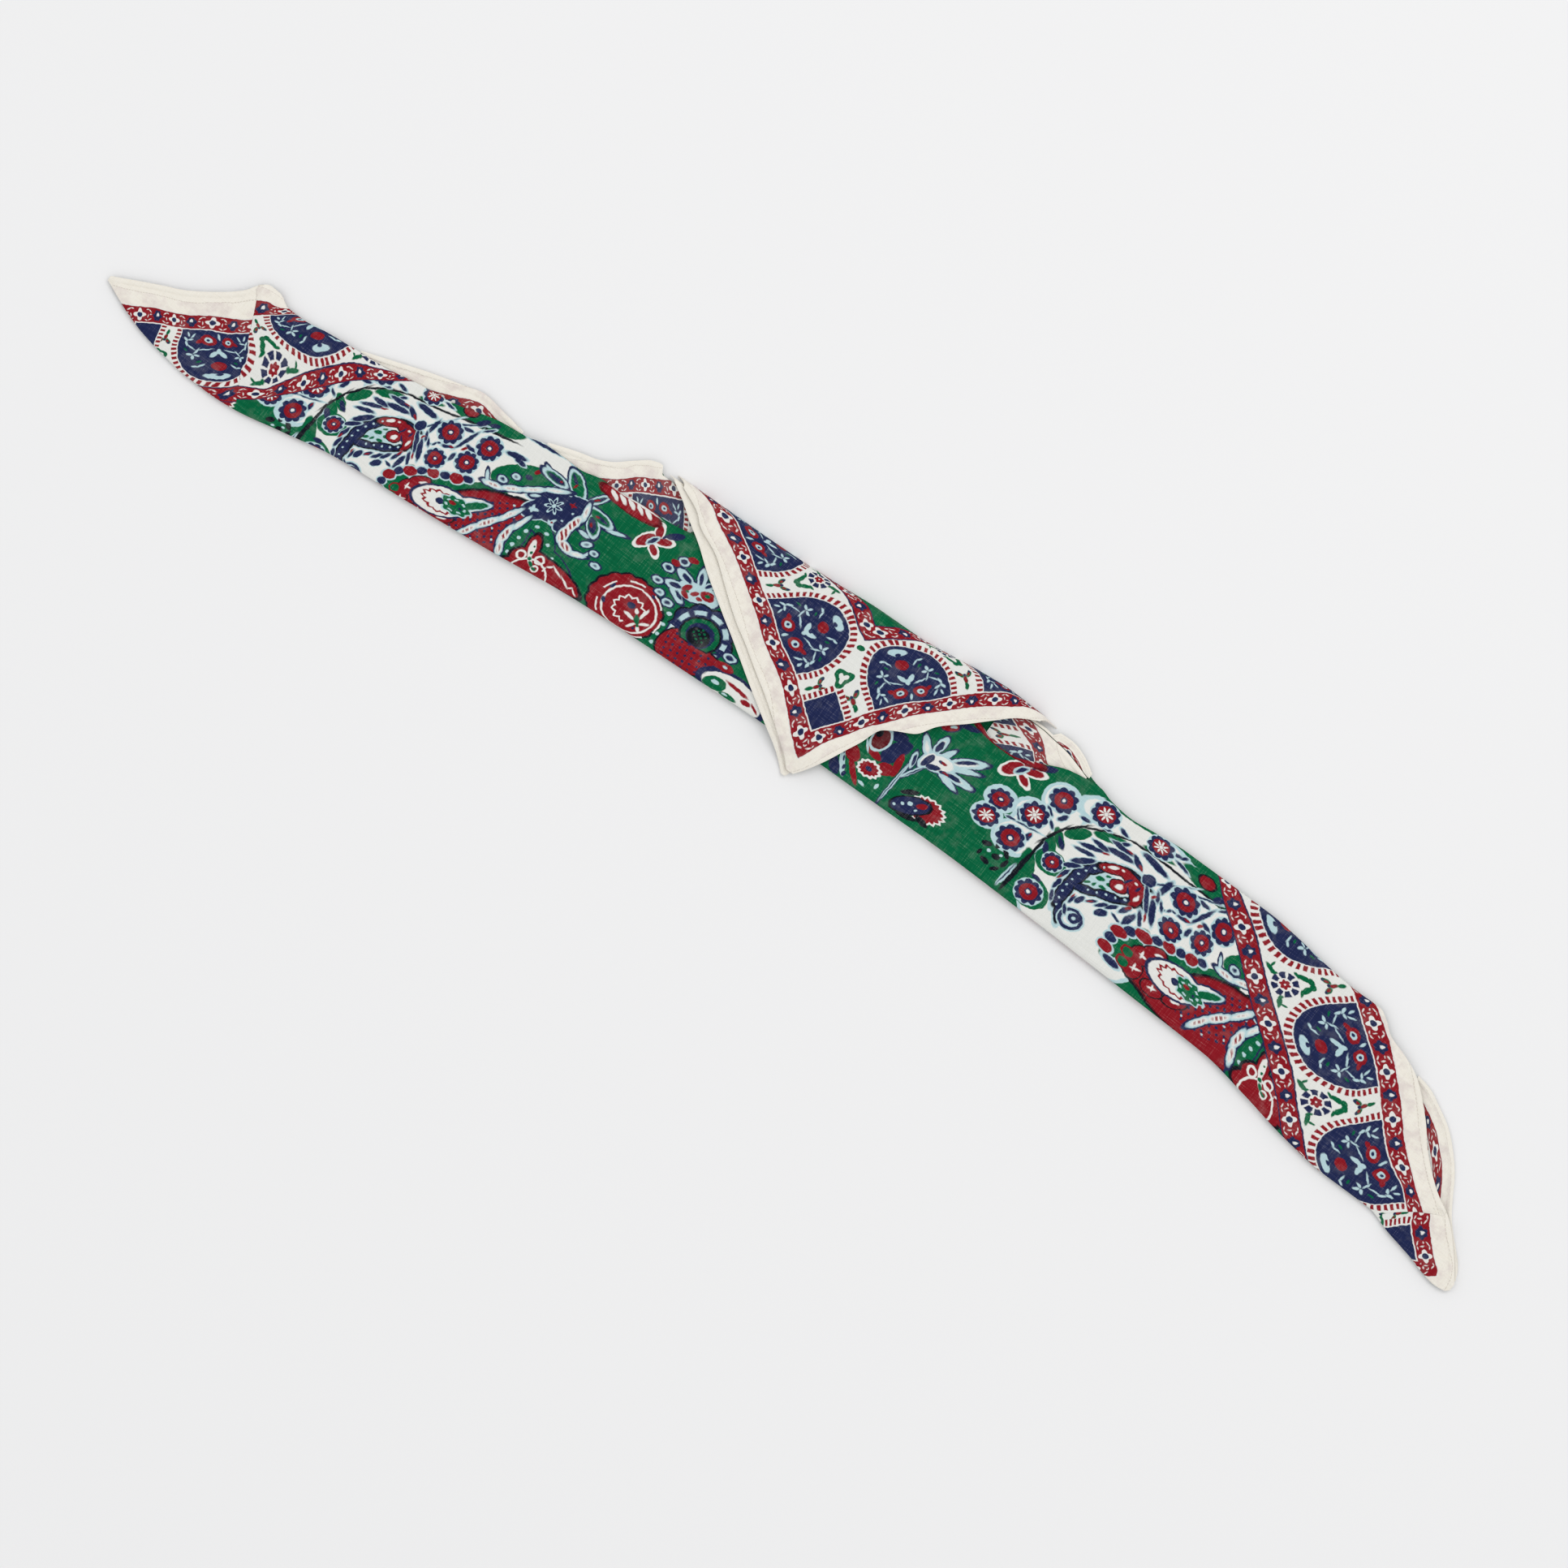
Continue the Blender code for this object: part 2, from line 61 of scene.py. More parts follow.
# ---------------------------------------------------------------- sizes shared with the solids, mm
MM = 0.001
ROW_SHIFT = (0.95, -40.589)  # band frame to row frame
WALL, GAP = 1.0, 0.3
PLY = WALL + GAP
SHOULDER, SKIRT = 2.5, 0.4
SHELF = 1.8
UNDER_FRONT = 2.0
HEM_DROOP = 0.2
UNDER_FLAP_INSET = 1.9
LEAST_DROP = 0.3
LEFT_END, RIGHT_END = -382.5, 380.6
# where a pleat lies, how far it runs along on its way across, and how far that skews its sides
LEFT_PLEAT, LEFT_SKEW, LEFT_REACH = -314.0, -24.0, 46.0
RIGHT_PLEAT, RIGHT_SKEW, RIGHT_REACH = 346.5, 23.0, 33.5
MIDDLE = -4.0
HALF_SLIT = 0.03  # half of what is open between two stretches of the face
TAIL_INSET, TAIL_START, TAIL_BLEND = 3.2, 286.0, 20.0
FLAP_FOLD_DEPTH = 3.4

# along, across
NEAR_EDGE: Rows = (
    (-382.5, -1.2), (-375, -4.4), (-368, -7.2), (-355, -11.1), (-342, -13.3),
    (-329, -14.8), (-316, -14.9), (-303, -14), (-278, -8.9), (-252, -3.6),
    (-213, 0), (-174, 4.1), (-123, 10.3), (-71, 13.6), (-20, 16.3),
    (32, 17.6), (84, 18.8), (136, 18.3), (187, 17.3), (226, 16.4),
    (252, 12.5), (278, 7.8), (303, 5.3), (328, 5.4), (342, 1.8),
    (357, -1.3), (365, -3.5), (373, -4.9), (378.6, -4.3), (380.6, -2.6),
)
FRONT_FAR_EDGE: Rows = (
    (-382.5, 1.2), (-361.4, 11.7), (-352.7, 15.7), (-341.9, 22.6), (-329.5, 33),
    (-326, 38.4), (-321.5, 41.3), (-316, 41), (-309, 37.8), (-301, 37.7),
    (-290, 39.4), (-275, 41), (-257, 42.7), (-244, 45.3), (-222, 48.6),
    (-201, 54.4), (-188, 56), (-177, 58.7), (-160, 58.6), (-147, 61.2),
    (-141, 61.2), (-128, 62.6), (-121, 63.3), (-115, 63.5), (-103, 65.4),
    (-90, 70), (-70, 80), (-20, 85), (12, 86.6), (35, 84),
    (46, 79.5), (57.5, 74.9), (68, 72.1), (76, 72.6), (86, 76.4),
    (102, 83), (117, 84.8), (124, 83), (136, 81.9), (149, 83.4),
    (165, 85), (213, 85.4), (226, 84.5), (252, 81.6), (265, 80.9),
    (278, 81.2), (284, 78.4), (290, 73.8), (300, 70.6), (309, 66.8),
    (325, 53.2), (335.5, 41.3), (350, 29.4), (360, 23.8), (372, 12),
    (380.6, 1),
)
# along, height, share of it that is crown, near wrap, far wrap, shelf
BAND_FORM: Rows = (
    (-382.5, 2.3, 0.03, 0.15, 0, 0), (-355, 2.6, 0.04, 0.5, 0, 0),
    (-330, 3, 0.06, 1, 0, 0), (-318, 3.3, 0.08, 1, 1, 0),
    (-291, 3.8, 0.11, 1, 1, 0), (-277, 4, 0.12, 1, 0.4, SHELF),
    (-190, 5, 0.15, 1, 0.4, SHELF), (-100, 5.4, 0.15, 1, 0.4, SHELF),
    (-78, 5.6, 0.15, 1, 1, 0), (35, 5.6, 0.15, 1, 1, 0),
    (50, 5.6, 0.15, 1, 0.4, SHELF), (115, 5.5, 0.15, 1, 0.4, SHELF),
    (126, 5.4, 0.15, 1, 1, 0), (265, 4.6, 0.13, 1, 1, 0),
    (284, 4.2, 0.12, 1, 0.5, 0), (300, 3.8, 0.10, 1, 0.15, 0),
    (330, 3.3, 0.07, 1, 0.05, 0), (360, 2.95, 0.04, 0.5, 0, 0),
    (380.6, 2.75, 0.03, 0.15, 0, 0),
)
FAR_HEM: Rows = (
    (-271, 42.3), (-257, 47.2), (-241, 52.8), (-224, 57.7), (-214, 60.3), (-203, 58.9),
    (-190, 57),
)
LEFT_WINDOW: Rows = (
    (-178, 59.9), (-164, 64.8), (-156, 67), (-149, 70.6), (-142, 76.6), (-135, 81.8),
    (-129, 83.4),
)
FLAP_FOLD: Rows = (
    (-127, 83.2), (-107, 84), (-93, 84.5), (-65, 85.5), (-35, 87.4), (-14, 89.4),
    (12, 90.5), (25, 92.2), (43, 94.8), (59, 96.1), (74, 95.9), (85, 94.7),
)
RIGHT_WINDOW: Rows = ((87, 94.6), (94, 94.3), (102, 92.1), (110, 87.6), (118, 85.4))
RIGHT_CORNER_HEM: Rows = (
    (311, 67), (318, 65.6), (328, 60.8), (335.6, 56.4), (347.5, 45.3), (352.3, 39.1),
    (356.5, 32.2), (361, 25.4), (366, 19.6), (372, 13.9), (379, 5.6), (380.2, 2.6),
)
# along, how far the hidden layers end inside the outline at the far side
HIDDEN_INSET: Rows = (
    (-382.5, 0.3), (-330, 0.3), (-316, 0.15), (-291, 0.15), (-277, 1), (-132, 1),
    (-127, 3.8), (84, 3.8), (88, 1), (114, 1), (122, 0.15), (290, 0.15),
)
FLAP_TILT, FLAP_FOLD_LEVEL = 0.053, 86.6
# level, left end, right end (both along)
UPPER_FLAP_ROWS: Rows = (
    (86.6, -116.5, 76.5), (81, -105, 66.4), (76, -99.5, 60), (69.5, -87, 51.7),
    (60, -75, 40.5), (52.5, -65.6, 35.3), (47.4, -58.5, 25.5), (44, -53, 20.7),
    (35, -40, 17.2), (29, -31, 14.3), (18.4, -16.8, 9.2), (10, -6.2, 4.2),
    (6, -2.6, 1.2),
)
UNDER_FLAP_ROWS: Rows = (
    (86.6, -121.5, 72), (81, -112.6, 62.4), (76, -106, 56), (69.5, -96.5, 47.7),
    (60, -84.4, 36.5), (52.5, -73.6, 31.3), (47.4, -66.2, 21.5), (44, -61, 16.7),
    (35, -48, 13.2), (29, -39.4, 10.3), (18.4, -23.6, 5.6), (10, -11, 1.4),
    (3.2, -3.4, -1.2),
)
# ends (along, across), half width, height at each end
FOLDS: Rows = (
    (-316.5, 42, -298, 5, 3.4, 1.3, 0.3),
    (327, 9, 345, 26, 3.2, 0.4, 0.9),
    (345, 4, 361, 17, 3, 0.5, 0.7),
    (-60, 30, -10, 24, 7, 0.3, 0.3),
    (150, 40, 235, 34, 8, 0.5, 0.3),
    (-232, 18, -150, 26, 8, 0.4, 0.5),
)
TROUGHS: Rows = (
    (-330, 26, -314, 2, 3.6, -0.35, -0.15),
    (-262, 26, -160, 44, 6, -0.5, -0.4),
    (118, 62, 240, 58, 7, -0.5, -0.5),
    (262, 44, 322, 26, 5, -0.4, -0.2),
    (335, 3, 361, 28, 4, -0.25, -0.25),
)
INNER_RIGHT_HEM: Rows = (
    (60, 88), (70, 90), (80, 90.2), (86, 89.6), (94, 88.8), (103, 86.6), (109, 84.8),
)
OUTER_RIGHT_HEM: Rows = (
    (72, 91.2), (84.4, 90.7), (87.6, 93.9), (94, 94.2), (102, 92.1), (110, 87.6),
)
LEFT_WINDOW_UNDER_FLAP: Rows = ((-130.5, 83.0), (-127.6, 79.2), (-112, 79.4), (-99, 79.6))
# centre (along, across), reach, lift
HEM_LIFTS: Rows = ((30.0, 52.0, 13.0, 2.2), (62.0, 82.0, 15.0, 1.8), (12.0, 24.0, 9.0, 0.8))


# ---------------------------------------------------------------- maths
def smooth(rows: Rows, x: Array | float, column: int = 1) -> Array:
    """Value of a column of a table, by a cubic through its rows that never overshoots them.

    Args:
        rows: The table, its first column rising.
        x: Where to read it.
        column: Which column to read.

    Returns:
        The values, in the shape of x.
    """
    xs = np.array([row[0] for row in rows], float)
    ys = np.array([row[column] for row in rows], float)
    x = np.clip(np.asarray(x, float), xs[0], xs[-1])
    step = np.diff(xs)
    slope = np.diff(ys) / step
    same = slope[:-1] * slope[1:] > 0
    total = np.where(same, slope[:-1] + slope[1:], 1.0)
    inner = np.where(same, 2 * slope[:-1] * slope[1:] / total, 0.0)
    tangent = np.concatenate([slope[:1], inner, slope[-1:]])
    i = np.clip(np.searchsorted(xs, x, side="right") - 1, 0, len(step) - 1)
    u = (x - xs[i]) / step[i]
    return (
        (1 + 2 * u) * (1 - u) ** 2 * ys[i]
        + u * (1 - u) ** 2 * step[i] * tangent[i]
        + u * u * (3 - 2 * u) * ys[i + 1]
        + u * u * (u - 1) * step[i] * tangent[i + 1]
    )


def ease(x: Array | float) -> Array:
    """A soft step from 0 to 1."""
    x = np.clip(x, 0.0, 1.0)
    return x * x * (3 - 2 * x)


def hump(away: Array, half_width: float) -> Array:
    """1 at the middle of a soft hump, and falling off to 0 on both sides."""
    return np.exp(-((away / half_width) ** 2))


def beside_stretch(along: Array, across: Array, start: Row, end: Row) -> tuple[Array, Array]:
    """Where each point lies beside a straight stretch.

    Args:
        along: Places along the band.
        across: Places across it.
        start: Where the stretch starts.
        end: Where it ends.

    Returns:
        How much of the stretch lies before the nearest place on it, and how far that is away.
    """
    run, rise = end[0] - start[0], end[1] - start[1]
    square = max(run**2 + rise**2, 1e-9)
    right, up = along - start[0], across - start[1]
    share = np.clip((right * run + up * rise) / square, 0, 1)
    return share, np.hypot(right - share * run, up - share * rise)


def folds_at(rows: Rows, along: Array, across: Array) -> Array:
    """Sum of soft folds at each point: their ends, half width and the height at each end."""
    total = np.zeros(np.broadcast(along, across).shape)
    for a0, c0, a1, c1, half_width, first, last in rows:
        share, away = beside_stretch(along, across, (a0, c0), (a1, c1))
        total += (first + share * (last - first)) * hump(away, half_width)
    return total


def distance_to_line(along: Array, across: Array, line: Array) -> Array:
    """Shortest distance from each point to a line of straight stretches."""
    near = np.full(np.shape(along), np.inf)
    for start, end in pairwise(line):
        near = np.minimum(near, beside_stretch(along, across, start, end)[1])
    return near


def outline_rows() -> list[Row]:
    """The far outline of the band: the front face's edge, and what stands out past it."""
    first, last = FAR_HEM[0][0], RIGHT_CORNER_HEM[0][0]
    between = [row for row in FRONT_FAR_EDGE if RIGHT_WINDOW[-1][0] < row[0] < last]
    return (
        [row for row in FRONT_FAR_EDGE if row[0] < first]
        + [*FAR_HEM, *LEFT_WINDOW, *FLAP_FOLD, *RIGHT_WINDOW]
        + between
        + list(RIGHT_CORNER_HEM)
    )


OUTLINE = outline_rows()


class Section:
    """Sizes of the band's section at places along it."""

    def __init__(self, along: Array | float) -> None:
        """Reads every size of the section from the tables."""
        self.near = smooth(NEAR_EDGE, along)
        self.far = smooth(FRONT_FAR_EDGE, along)
        self.height = smooth(BAND_FORM, along)
        self.level = self.height * (1 - smooth(BAND_FORM, along, 2))
        half = self.level - 0.5 * self.height - SKIRT - LEAST_DROP
        self.near_wrap = smooth(BAND_FORM, along, 3)
        self.far_wrap = smooth(BAND_FORM, along, 4)
        self.near_drop = LEAST_DROP + self.near_wrap * half
        self.far_drop = LEAST_DROP + self.far_wrap * half
        self.shelf = smooth(BAND_FORM, along, 5)
        self.shoulder = np.minimum(SHOULDER, 0.3 * (self.far - self.near))
        tail = self.far - TAIL_INSET
        self.hidden_far = smooth(OUTLINE, along) - smooth(HIDDEN_INSET, along)
        self.hidden_far += ease((along - TAIL_START) / TAIL_BLEND) * (tail - self.hidden_far)
        below_far = self.level - self.far_drop - SKIRT * self.far_wrap - GAP
        self.shelf_top = np.minimum(below_far, self.level - PLY - 0.15) - self.shelf


def face_height(along: Array, across: Array) -> Array:
    """Top of the front face, without the folds that only its own cloth has."""
    band = Section(along)
    share = np.clip((across - band.near) / (band.far - band.near), 0, 1)
    crown = (band.height - band.level) * np.sin(math.pi * share) ** 0.8
    return band.level + crown + folds_at(TROUGHS, along, across)


def skewed(along: Array, share: Array) -> Array:
    """Moves a section's points along, so that the sections lie along the pleats beside them."""
    left = ease(1 - np.abs(along - LEFT_PLEAT) / LEFT_REACH)
    right = ease(1 - np.abs(along - RIGHT_PLEAT) / RIGHT_REACH)
    return along + (share - 0.5) * (LEFT_SKEW * left + RIGHT_SKEW * right)


# ---------------------------------------------------------------- small relief of the cloth, mm
# soft creases that only the thin cloth has: ends (along, across), half width, height at each end
SOFT_CREASES: Rows = (
    (-372, -2, -340, 12, 2, 0.12, 0.22), (-352, -6, -331, 3, 1.8, 0.16, -0.12),
    (-318, 30, -306, 16, 1.7, 0.30, 0.05), (-306, 30, -292, 16, 1.8, -0.25, -0.1),
    (-296, 6, -262, 30, 2.4, 0.14, 0.2), (-270, 4, -236, 36, 2.8, -0.16, 0.12),
    (-246, 2, -215, 26, 2.2, 0.18, -0.06), (-225, 30, -186, 46, 2.4, 0.2, 0.1),
    (-214, 6, -176, 38, 2.6, -0.18, -0.1), (-188, 16, -160, 50, 2, 0.14, 0.16),
    (-176, 12, -128, 34, 2.8, 0.16, -0.12), (-158, 30, -118, 55, 2.4, -0.14, 0.14),
    (-140, 14, -96, 46, 3, 0.2, 0.1), (-112, 16, -72, 36, 2.4, -0.2, -0.1),
    (-92, 20, -60, 52, 2.2, 0.14, 0.2), (28, 24, 52, 56, 2.6, 0.16, 0.22),
    (56, 24, 88, 62, 2.4, -0.16, -0.16), (80, 30, 118, 74, 2.8, 0.18, 0.12),
    (104, 24, 140, 52, 2.4, -0.14, 0.12), (128, 34, 160, 80, 2.6, 0.16, -0.1),
    (150, 24, 186, 56, 2.6, 0.2, 0.14), (176, 30, 214, 70, 2.2, -0.18, -0.14),
    (200, 24, 238, 60, 2.8, 0.18, 0.1), (226, 20, 262, 70, 2.4, -0.14, 0.18),
    (250, 22, 284, 52, 2.2, 0.16, -0.14), (270, 14, 302, 44, 2.4, 0.2, 0.12),
    (292, 12, 322, 46, 2, -0.22, -0.14), (312, 10, 338, 34, 1.8, 0.2, 0.24),
    (330, 9, 343, 20, 1.5, -0.26, 0.2), (352, 8, 366, 12, 1.4, 0.26, 0.14),
    (358, 1, 374, 8, 1.5, 0.26, 0.2), (366, -3, 378, 3, 1.3, 0.3, 0.24),
)
# waves of the finer crumple: length, its direction in degrees, height, phase
CRUMPLE: Rows = (
    (31, 62, 0.075, 0.4), (23, -48, 0.06, 1.9), (17.5, 12, 0.045, 3.1),
    (13, 81, 0.04, 5.2), (10.3, -22, 0.03, 0.9), (7.9, 44, 0.022, 2.6),
)


def crumple(along: Array, across: Array) -> Array:
    """The fine unevenness of slack cotton, the same on hidden sides."""
    bent_along = along + 3.2 * np.sin(across / 13.0 + 1.0) + 2.1 * np.sin(along / 29.0)
    bent_across = across + 2.8 * np.sin(along / 17.0 + 0.4)
    total = np.zeros(np.broadcast(along, across).shape)
    for length, degrees, height, phase in CRUMPLE:
        turn = math.radians(degrees)
        way = bent_along * math.cos(turn) + bent_across * math.sin(turn)
        total += height * np.sin(2 * math.pi * way / length + phase)
    return total


@dataclass(frozen=True)
class RolledHem:
    """The narrow rolled hem of the square's sides: a small roll, and a groove where it is sewn."""

    width: float = 2.6
    rise: float = 0.42
    groove: float = 0.13
    groove_in: float = 0.25
    groove_half: float = 0.45
    stitch: float = 3.1
    pucker: float = 0.07
    pucker_reach: float = 7.0

    def relief(self, inside: Array, along: Array) -> Array:
        """Height that the hem adds.

        Args:
            inside: Distance from the cloth's edge.
            along: Place along the hem, for the puckers.

        Returns:
            The added height.
        """
        roll = self.rise * np.sin(math.pi * np.clip(inside / self.width, 0, 1)) ** 0.7
        seam = -self.groove * hump(inside - self.width - self.groove_in, self.groove_half)
        fade = hump(inside, self.pucker_reach)
        return roll + seam + self.pucker * fade * np.sin(2 * math.pi * along / self.stitch)


HEM = RolledHem()

# ---------------------------------------------------------------- the print's place on the cloth
PLAN_SCALE = 0.369  # mm of the real scarf for each pixel of the plan view
PLAN_MIDDLE = (964.5, 965.0)
CHORD = (0.8, 0.6)  # the chord's direction in the plan view, right and down


def from_plan(x: Array | float, y: Array | float) -> tuple[Array, Array]:
    """A place read in the plan view, in the band's frame.

    Args:
        x: Pixels from the left.
        y: Pixels from the top.

    Returns:
        Its places along and across the band, in mm.
    """
    right, down = x - PLAN_MIDDLE[0], y - PLAN_MIDDLE[1]
    along = (right * CHORD[0] + down * CHORD[1]) * PLAN_SCALE
    across = (right * CHORD[1] - down * CHORD[0]) * PLAN_SCALE
    return along, across


class ClothMap:
    """Smooth map from the band to the flat square, exact at a few places read off.

    Between its anchors it bends like a thin plate, as slack bias cloth does.
    """

    def __init__(self, anchors: Rows) -> None:
        """Solves for the map.

        Args:
            anchors: Plan x, plan y, distance from the first side, distance from the second.
        """
        table = np.array(anchors, float)
        along, across = from_plan(table[:, 0], table[:, 1])
        self.places = np.stack([along, across], axis=1)
        count = len(table)
        system = np.zeros((count + 3, count + 3))
        system[:count, :count] = self.bend(self.places) + 2.0 * np.eye(count)
        flat = np.column_stack([np.ones(count), self.places])
        system[:count, count:], system[count:, :count] = flat, flat.T
        wanted = np.zeros((count + 3, 2))
        wanted[:count] = table[:, 2:4]
        self.weights = np.linalg.solve(system, wanted)

    def bend(self, points: Array) -> Array:
        """How much each anchor bends the plate at each point."""
        gap = points[:, None, :] - self.places[None, :, :]
        square = (gap**2).sum(axis=2)
        return 0.5 * square * np.log(np.maximum(square, 1e-9))

    def at(self, along: Array, across: Array) -> Array:
        """Distances from the two sides of the square, for each point, in mm."""
        points = np.stack([np.ravel(along), np.ravel(across)], axis=1)
        flat = np.column_stack([self.bend(points), np.ones(len(points)), points])
        return (flat @ self.weights).reshape(*np.shape(along), 2)


# plan x, plan y, distance from the side that shows, distance from the square's corner along it
LEFT_CORNER_CLOTH: Rows = (
    (135, 343, 0, 0), (238, 367, 0, 56), (309, 360, 0, 86), (152, 374, 10, 12),
    (192, 379, 10, 30), (265, 389, 10, 64), (304, 394, 10, 80), (171, 398, 19.5, 21),
    (215, 404, 19.5, 43), (261, 408, 19.5, 64), (297, 412, 19.5, 80), (272, 423, 25, 67),
    (270, 435, 31.5, 67), (271, 454, 41, 67), (273, 465, 47, 67), (203, 419, 30, 41),
    (265, 478, 54.5, 69), (302, 474, 54.5, 80), (293, 496, 64, 81),
)
FRONT_LEFT_CLOTH: Rows = (
    (326, 350, 0.5, 95), (343, 359, 0.5, 103), (332, 372, 10, 97), (350, 381, 10, 105),
    (324, 390, 19.5, 97), (352, 388, 19.5, 108), (311, 391, 19.5, 91), (320, 405, 30, 93),
    (330, 424, 38.8, 93), (338, 457, 47.4, 93), (318, 473, 51.7, 85.6), (362, 457, 51.7, 100.4),
    (327, 480, 54.5, 88), (360, 466, 54.5, 101), (402, 453, 54.5, 119), (440, 448, 54.5, 137),
    (480, 457, 54.5, 153), (392, 414, 40.1, 119), (395, 429, 46.9, 119), (437, 431, 47, 134.8),
    (440, 440, 51.7, 137.6), (333, 490, 64, 92), (365, 485, 64, 103), (404, 477, 64, 121),
    (440, 470, 64, 137), (480, 470, 64, 154), (510, 470, 64, 167), (600, 537, 120, 240),
    (416, 551, 120, 150), (639, 631, 190, 230),
)
FRONT_RIGHT_CLOTH: Rows = (
    (1504, 1100, 64, 186), (1528, 1100, 54.5, 186), (1531, 1200, 64, 150),
    (1558, 1200, 54.5, 150), (1659, 1200, 19.5, 150), (1684, 1200, 10, 150),
    (1555, 1285, 64, 119), (1582, 1285, 54.5, 119), (1685, 1285, 19.5, 119),
    (1713, 1285, 10, 119), (1737, 1285, 0.5, 119), (1573, 1360, 64, 92),
    (1597, 1360, 54.5, 92), (1699, 1360, 19.5, 92), (1727, 1360, 10, 92),
    (1751, 1360, 0.5, 92), (1610, 1430, 54.5, 67), (1711, 1430, 19.5, 67),
    (1736, 1430, 10, 67), (1760, 1430, 0.5, 67), (1727, 1464, 19.5, 54.5),
    (1744, 1464, 10, 54.5), (1769, 1464, 0.5, 54.5), (1568, 1138, 46.5, 171),
    (1579, 1213, 48.5, 145), (1636, 1215, 30, 145), (1608, 1213, 38.8, 145),
    (1617, 1357, 48.5, 93), (1674, 1364, 30, 93), (1672, 1290, 25, 119),
    (1651, 1291, 31.5, 119), (1608, 1287, 46.5, 119), (1695, 1437, 25, 67),
    (1675, 1436, 31.5, 67), (1400, 1200, 115, 150), (1450, 1350, 100, 95),
    (1380, 1060, 120, 200),
)
RIGHT_CORNER_CLOTH: Rows = (
    (1722, 1489, 28, 43), (1722, 1501, 27, 38.5), (1737, 1507, 19.5, 36), (1763, 1495, 10, 40),
    (1785, 1499, 0.5, 38), (1744, 1551, 19.5, 20), (1768, 1551, 10, 20), (1794, 1551, 0.5, 20),
    (1769, 1568, 11, 12), (1776, 1590, 4, 3), (1794, 1572, 0.3, 10), (1710, 1520, 33, 33),
)
FLAP_CLOTH: Rows = (
    (966, 958, 0, 0), (943, 856, 0, 40), (917, 790, 0, 66), (881, 683, 0, 110),
    (853, 614, 0, 140), (925, 741, 10, 85), (947, 808, 10, 58), (967, 869, 10, 36),
    (982, 936, 10, 10), (886, 650, 10, 122), (872, 612, 10, 138), (906, 690, 10, 106),
    (905, 630, 19.5, 131), (924, 679, 19.5, 110), (951, 751, 19.5, 80),
    (964, 794, 19.5, 63), (983, 837, 19.5, 46), (1000, 900, 19.5, 19.5), (1071, 877, 46, 19.5),
    (1141, 864, 74, 19.5), (1213, 853, 101, 19.5), (1050, 904, 38, 10), (1087, 893, 54, 10),
    (1141, 880, 74, 10), (1208, 872, 101, 10), (1256, 872, 120, 10), (1007, 944, 14, 0),
    (1060, 915, 40, 0), (1141, 899, 74, 0), (1208, 892, 101, 0), (1275, 891, 130, 0),
    (1034, 722, 54.5, 87.5), (1050, 751, 54.5, 72.5), (1065, 790, 54.5, 54.5),
    (1101, 788, 67.5, 54.5), (1136, 789, 80.5, 54.5), (1071, 746, 64, 75.5), (1079, 771, 64, 64),
    (1098, 773, 71, 64), (1160, 812, 86, 40.5),
    (974, 782, 25, 67), (994, 780, 31.5, 67), (1016, 773, 41, 67),
    (1031, 770, 46.5, 67), (1122, 853, 67, 25), (1117, 840, 67, 31.5), (1110, 818, 67, 41),
    (1105, 806, 67, 46.5), (931, 667, 25, 119), (963, 722, 30, 93), (990, 718, 38.8, 93),
    (1012, 714, 48.5, 93), (1188, 832, 93, 30), (1177, 812, 93, 38.8), (1011, 844, 30, 41.5),
    (1050, 859, 41.5, 30), (1038, 836, 40, 40), (1060, 800, 51, 51),
)
LEFT_WINDOW_CLOTH: Rows = (
    (718, 562, 0, 176), (746, 568, 0, 158), (769, 572, 0, 144), (782, 568, 0, 136),
    (818, 572, 0, 113), (728, 586, 10, 168), (782, 587, 10, 136), (833, 591, 10, 104),
    (772, 608, 19.5, 142), (836, 616, 19.5, 104), (810, 625, 25, 119),
)
RIGHT_WINDOW_CLOTH: Rows = (
    (1303, 901, 0.3, 80), (1323, 952, 0.3, 112), (1277, 896, 10, 82), (1289, 933, 10, 100),
    (1253, 896, 19.5, 86), (1272, 925, 19.5, 100), (1241, 904, 26, 92),
)

# along the band, place on the field's repeat, drift of the cloth over the near fold
FIELD_PLACE: Rows = (
    (-382, -382, -1.5), (-276, -276, -1.3), (-240, -240, 0), (-100, -100, 2), (0, 0, 5), (20, 44, 6.5),
    (52, 83, 8), (91, 115, 10.6), (126, 144.6, 12.5), (152.5, 166.2, 14.2),
    (180, 184.5, 12), (217, 217, 7.7), (253, 246, 5.3), (297, 285, 3), (380, 365, 2),
)
FIELD_REPEAT = 400.0
# where the field's repeat is cut into stretches, each with its own finish
FIELD_CUTS = (-300.0, -252.0, -206.0, -160.0, -118.0, -60.0, 30.0, 100.0)


def field_at(along: Array, across: Array) -> Array:
    """Place of each point on the field's repeat: along it, and out from the near fold, in mm."""
    out = across - smooth(NEAR_EDGE, along) - smooth(FIELD_PLACE, along, 2)
    return np.stack([smooth(FIELD_PLACE, along), out + 0 * along], axis=-1)


# ---------------------------------------------------------------- meshes
class UVName(str, Enum):
    """Names of the maps that every piece of cloth carries."""

    BAKE = "OFBake"
    BORDER = "from_the_sides"
    FIELD = "on_the_field"


def in_row_frame(along: Array, across: Array, up: Array) -> list:
    """Points of the band's frame in the row frame, in metres, one a row."""
    points = np.stack([along + ROW_SHIFT[0], across + ROW_SHIFT[1], up], axis=-1)
    return (points.reshape(-1, 3) * MM).tolist()


@dataclass
class ClothGrid:
    """A sheet of cloth as a grid of points in the band's frame, with its flat coordinates."""

    along: Array
    across: Array
    up: Array
    border: Array
    field: Array

    def points(self) -> list:
        """The points in the row frame, in metres, one a row."""
        return in_row_frame(self.along, self.across, self.up)


